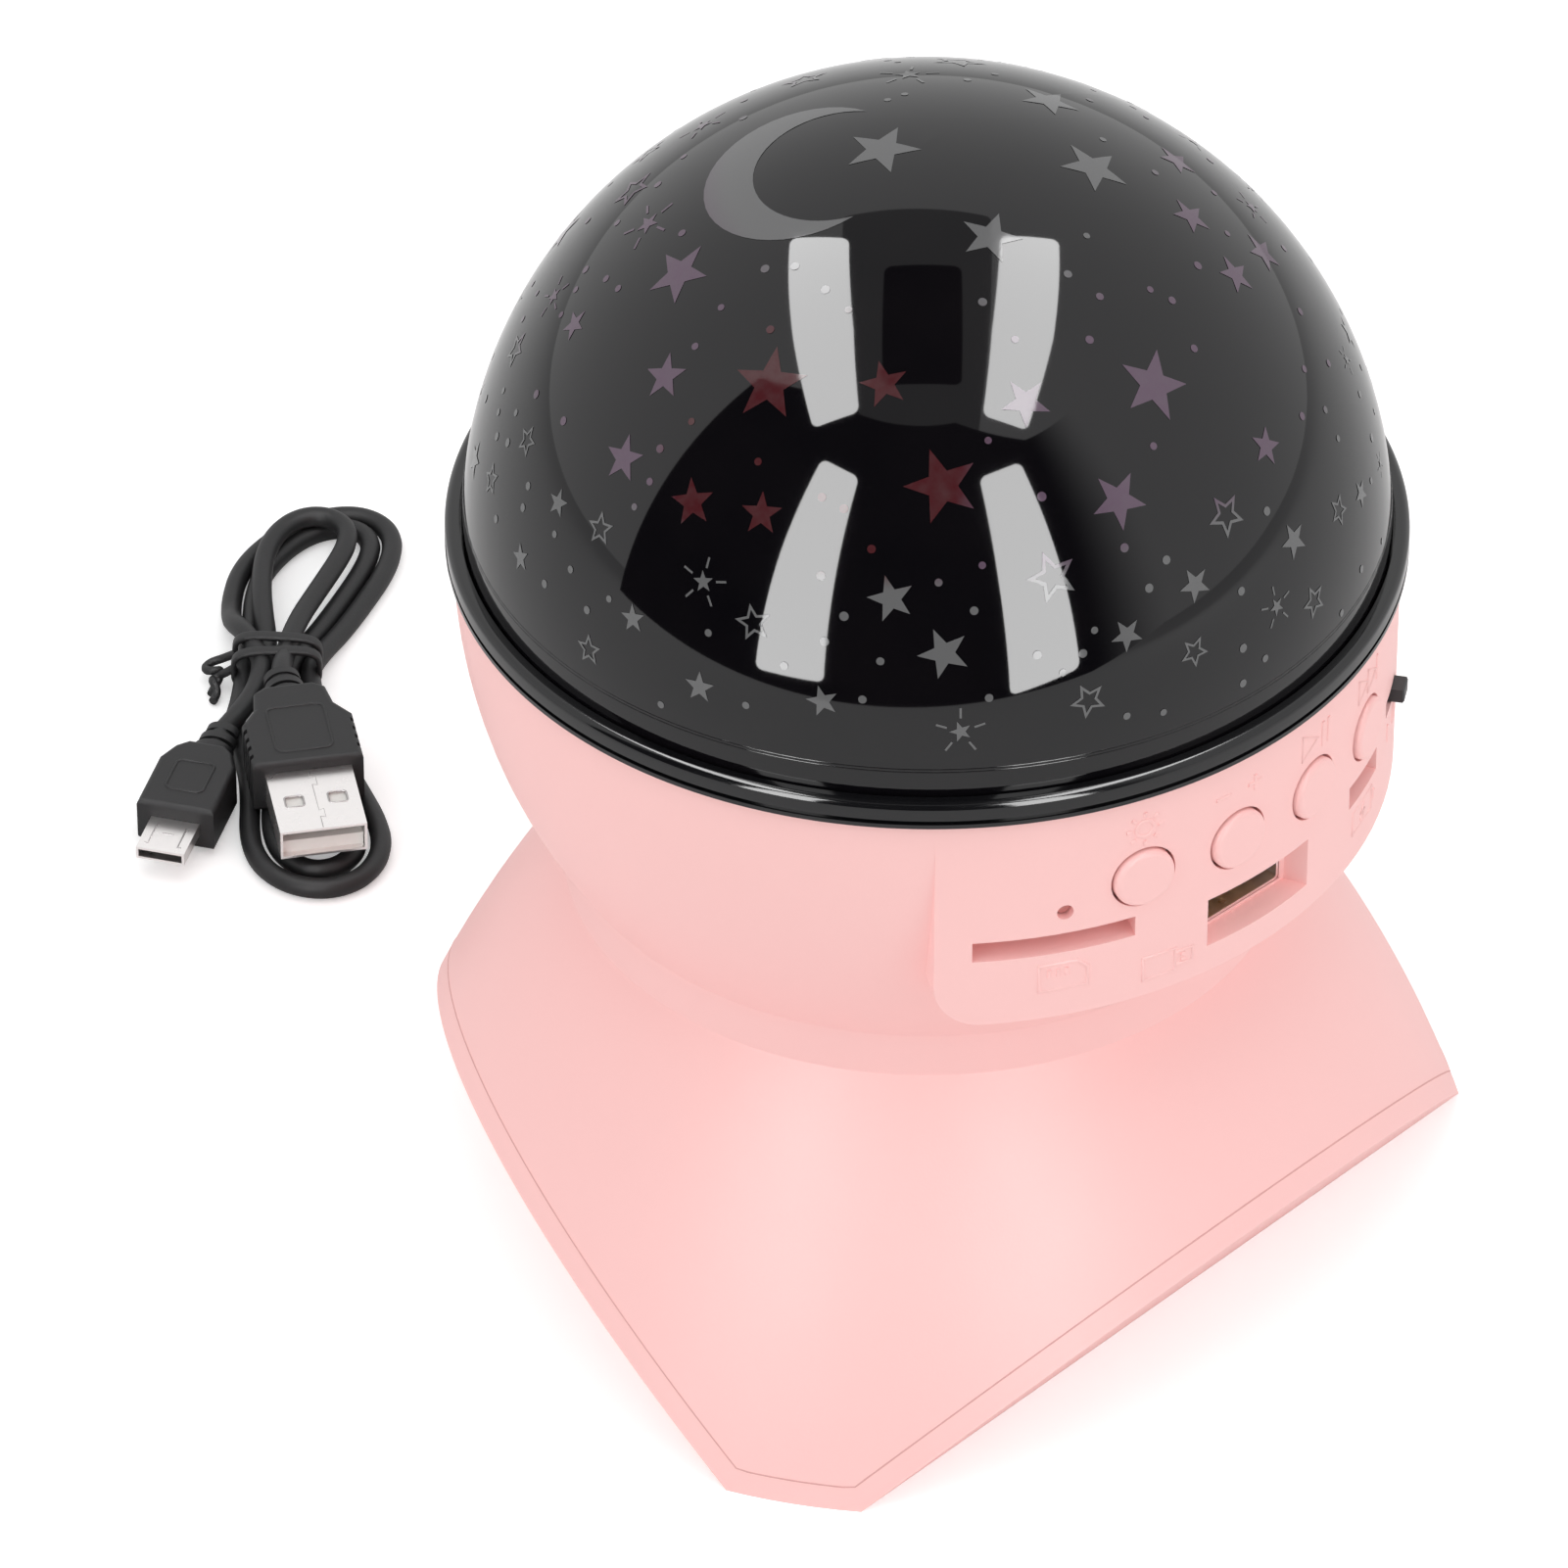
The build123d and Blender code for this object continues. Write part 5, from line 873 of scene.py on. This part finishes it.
def rounded_frame(plug, middle, half_length, half_width, corner, height):
    """A rounded rectangle lying on a plug, as a closed path."""
    path = []
    for i in range(frame_steps + 1):
        turn = 2 * math.pi * (i % frame_steps + 0.5) / frame_steps
        forward = math.copysign(half_length - corner, math.cos(turn)) + corner * math.cos(turn)
        sideways = math.copysign(half_width - corner, math.sin(turn)) + corner * math.sin(turn)
        path.append(plug_point(plug, middle[0] + forward, middle[1] + sideways, height))
    return path


usb_frame = rounded_frame(usb_plug, (16.9, 0), 5.0, 4.0, 1.2, usb_grip_top - frame_sunk)
micro_frame = rounded_frame(micro_plug, (15.4, 0), 3.3, 2.7, 1.0, micro_grip_top - frame_sunk)
plug_details = [
    fine_lines("usb_grip_frame", [usb_frame], frame_line, soft_black),
    fine_lines("micro_grip_frame", [micro_frame], frame_line, soft_black),
]

# ---------------------------------------------------------------- plug shells
# The USB shell is folded from sheet with a dovetailed joint down its middle. Each
# latch hole has a rounded rim, and a white pad behind it. The micro-USB shell
# has a long slot for each latch spring and a stamped stop between them. The joint,
# rims, slots and stop are drawn as lines of darker steel, which is painted shade
# in these gaps and hollows.
usb_shell_top, micro_shell_top = 9.2, 5.3
usb_hole_middle, usb_hole_side = 30.9, 3.0
joint_line, joint_sunk = 0.10, 0.06
rim_line, rim_sunk = 0.16, 0.08
slot_line, slot_sunk = 0.20, 0.13
pad_length, pad_width, pad_thickness, pad_middle, pad_round = 3.2, 3.4, 0.4, 8.62, 0.08
# Painted shade: darker steel for the gaps and hollows in the plug shells.
steel_painted_shade = metal("steel with painted shade", (0.42, 0.40, 0.40), 0.42, depth=0.000002, uneven=0.08)

joint_path = [(24.5, 0), (26.2, 0), (26.0, 0.7), (27.8, 0.7), (27.6, 0),
              (33.4, 0), (33.2, 0.7), (35.0, 0.7), (34.8, 0), (37.3, 0)]
joint = [plug_point(usb_plug, *place, usb_shell_top - joint_sunk) for place in joint_path]
rims = [rounded_frame(usb_plug, (usb_hole_middle, side), 1.2, 1.3, 0.5,
                      usb_shell_top - rim_sunk) for side in (-usb_hole_side, usb_hole_side)]
slot_paths = [[(23.8, side), (28.1, side), (28.1, 1.25 * side)] for side in (-2.1, 2.1)]
slot_paths.append([(25.6, -0.8), (25.6, 0.8)])
slots = [[plug_point(micro_plug, *place, micro_shell_top - slot_sunk) for place in path]
         for path in slot_paths]
for name, paths, radius in (("usb_shell_seam", [joint], joint_line),
                            ("usb_latch_rims", rims, rim_line),
                            ("micro_shell_slots", slots, slot_line)):
    plug_details.append(fine_lines(name, paths, radius, steel_painted_shade))

shape = bmesh.new()
for side in (-usb_hole_side, usb_hole_side):
    added = bmesh.ops.create_cube(shape, size=1.0)["verts"]
    for vertex in added:
        place = plug_point(usb_plug, usb_hole_middle + pad_length * vertex.co.x,
                           side + pad_width * vertex.co.y,
                           pad_middle + pad_thickness * vertex.co.z)
        vertex.co = [value * MM for value in place]
bmesh.ops.bevel(shape, geom=shape.edges[:], offset=pad_round * MM, segments=2, profile=0.5,
                affect="EDGES", material=-1)
bmesh.ops.recalc_face_normals(shape, faces=shape.faces)
latch_pads = mesh_object("usb_latch_pads", shape)
latch_pads.data.materials.append(white_plastic)
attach(latch_pads, "base")
plug_details.append(latch_pads)

# ---------------------------------------------------------------- cable tie
# The hank is held by a flat plastic-covered wire, wound twice round the six
# strands, with its two ends twisted together at the left.
band_width, band_thickness, band_round = 1.7, 0.75, 0.28
band_middle, band_half_width, band_half_height, band_fullness = (-2.5, 3.78), 6.0, 3.05, 0.55
tail_radius = 0.62
finish(soft_black, "cable_tie")

shape = bmesh.new()
for along, tilt in ((3.3, 0.05), (6.6, -0.07)):
    added = bmesh.ops.create_circle(shape, segments=48, radius=1.0)["verts"]
    for vertex in added:
        turn = math.atan2(vertex.co.y, vertex.co.x)
        across = math.copysign(abs(math.cos(turn)) ** band_fullness, math.cos(turn))
        up = math.copysign(abs(math.sin(turn)) ** band_fullness, math.sin(turn))
        vertex.co = (band_middle[0] + band_half_width * across,
                     along + tilt * band_half_width * across,
                     band_middle[1] + band_half_height * up)
ends = bmesh.ops.extrude_edge_only(shape, edges=shape.edges[:])["geom"]
for vertex in [item for item in ends if isinstance(item, bmesh.types.BMVert)]:
    vertex.co.y += band_width
for vertex in shape.verts:
    vertex.co = hank_point(vertex.co.x, vertex.co.y - band_width / 2, vertex.co.z)
bmesh.ops.recalc_face_normals(shape, faces=shape.faces)
bands = mesh_object("tie_bands", shape)
for face in bands.data.polygons:
    face.use_smooth = True
thick = bands.modifiers.new("thickness", "SOLIDIFY")
thick.thickness = band_thickness * MM
thick.offset = 0
edge = bands.modifiers.new("rounded edges", "BEVEL")
edge.width = band_round * MM
edge.segments = 3
bands.data.materials.append(soft_black)
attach(bands, "base")
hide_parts("cable_tie")

tail_routes = (
    [(-8.3, 6.4, 4.0), (-9.2, 6.6, 3.4), (-10.4, 6.9, 2.6), (-11.8, 6.7, 2.2),
     (-12.7, 5.8, 2.0), (-12.4, 4.6, 2.2), (-11.2, 4.3, 2.5), (-10.4, 4.9, 2.2),
     (-10.6, 3.6, 1.6), (-11.2, 2.4, 1.1), (-11.6, 1.0, 0.9)],
    [(-8.3, 3.4, 3.8), (-9.4, 3.4, 3.0), (-10.5, 3.9, 2.0), (-11.5, 3.5, 1.6),
     (-11.4, 2.3, 2.1), (-10.8, 1.4, 1.5), (-10.9, 0.4, 0.9), (-11.3, -0.6, 0.85)],
)
tie_ends = bent_cord("tie_ends", tail_routes, tail_radius, 8, 3)
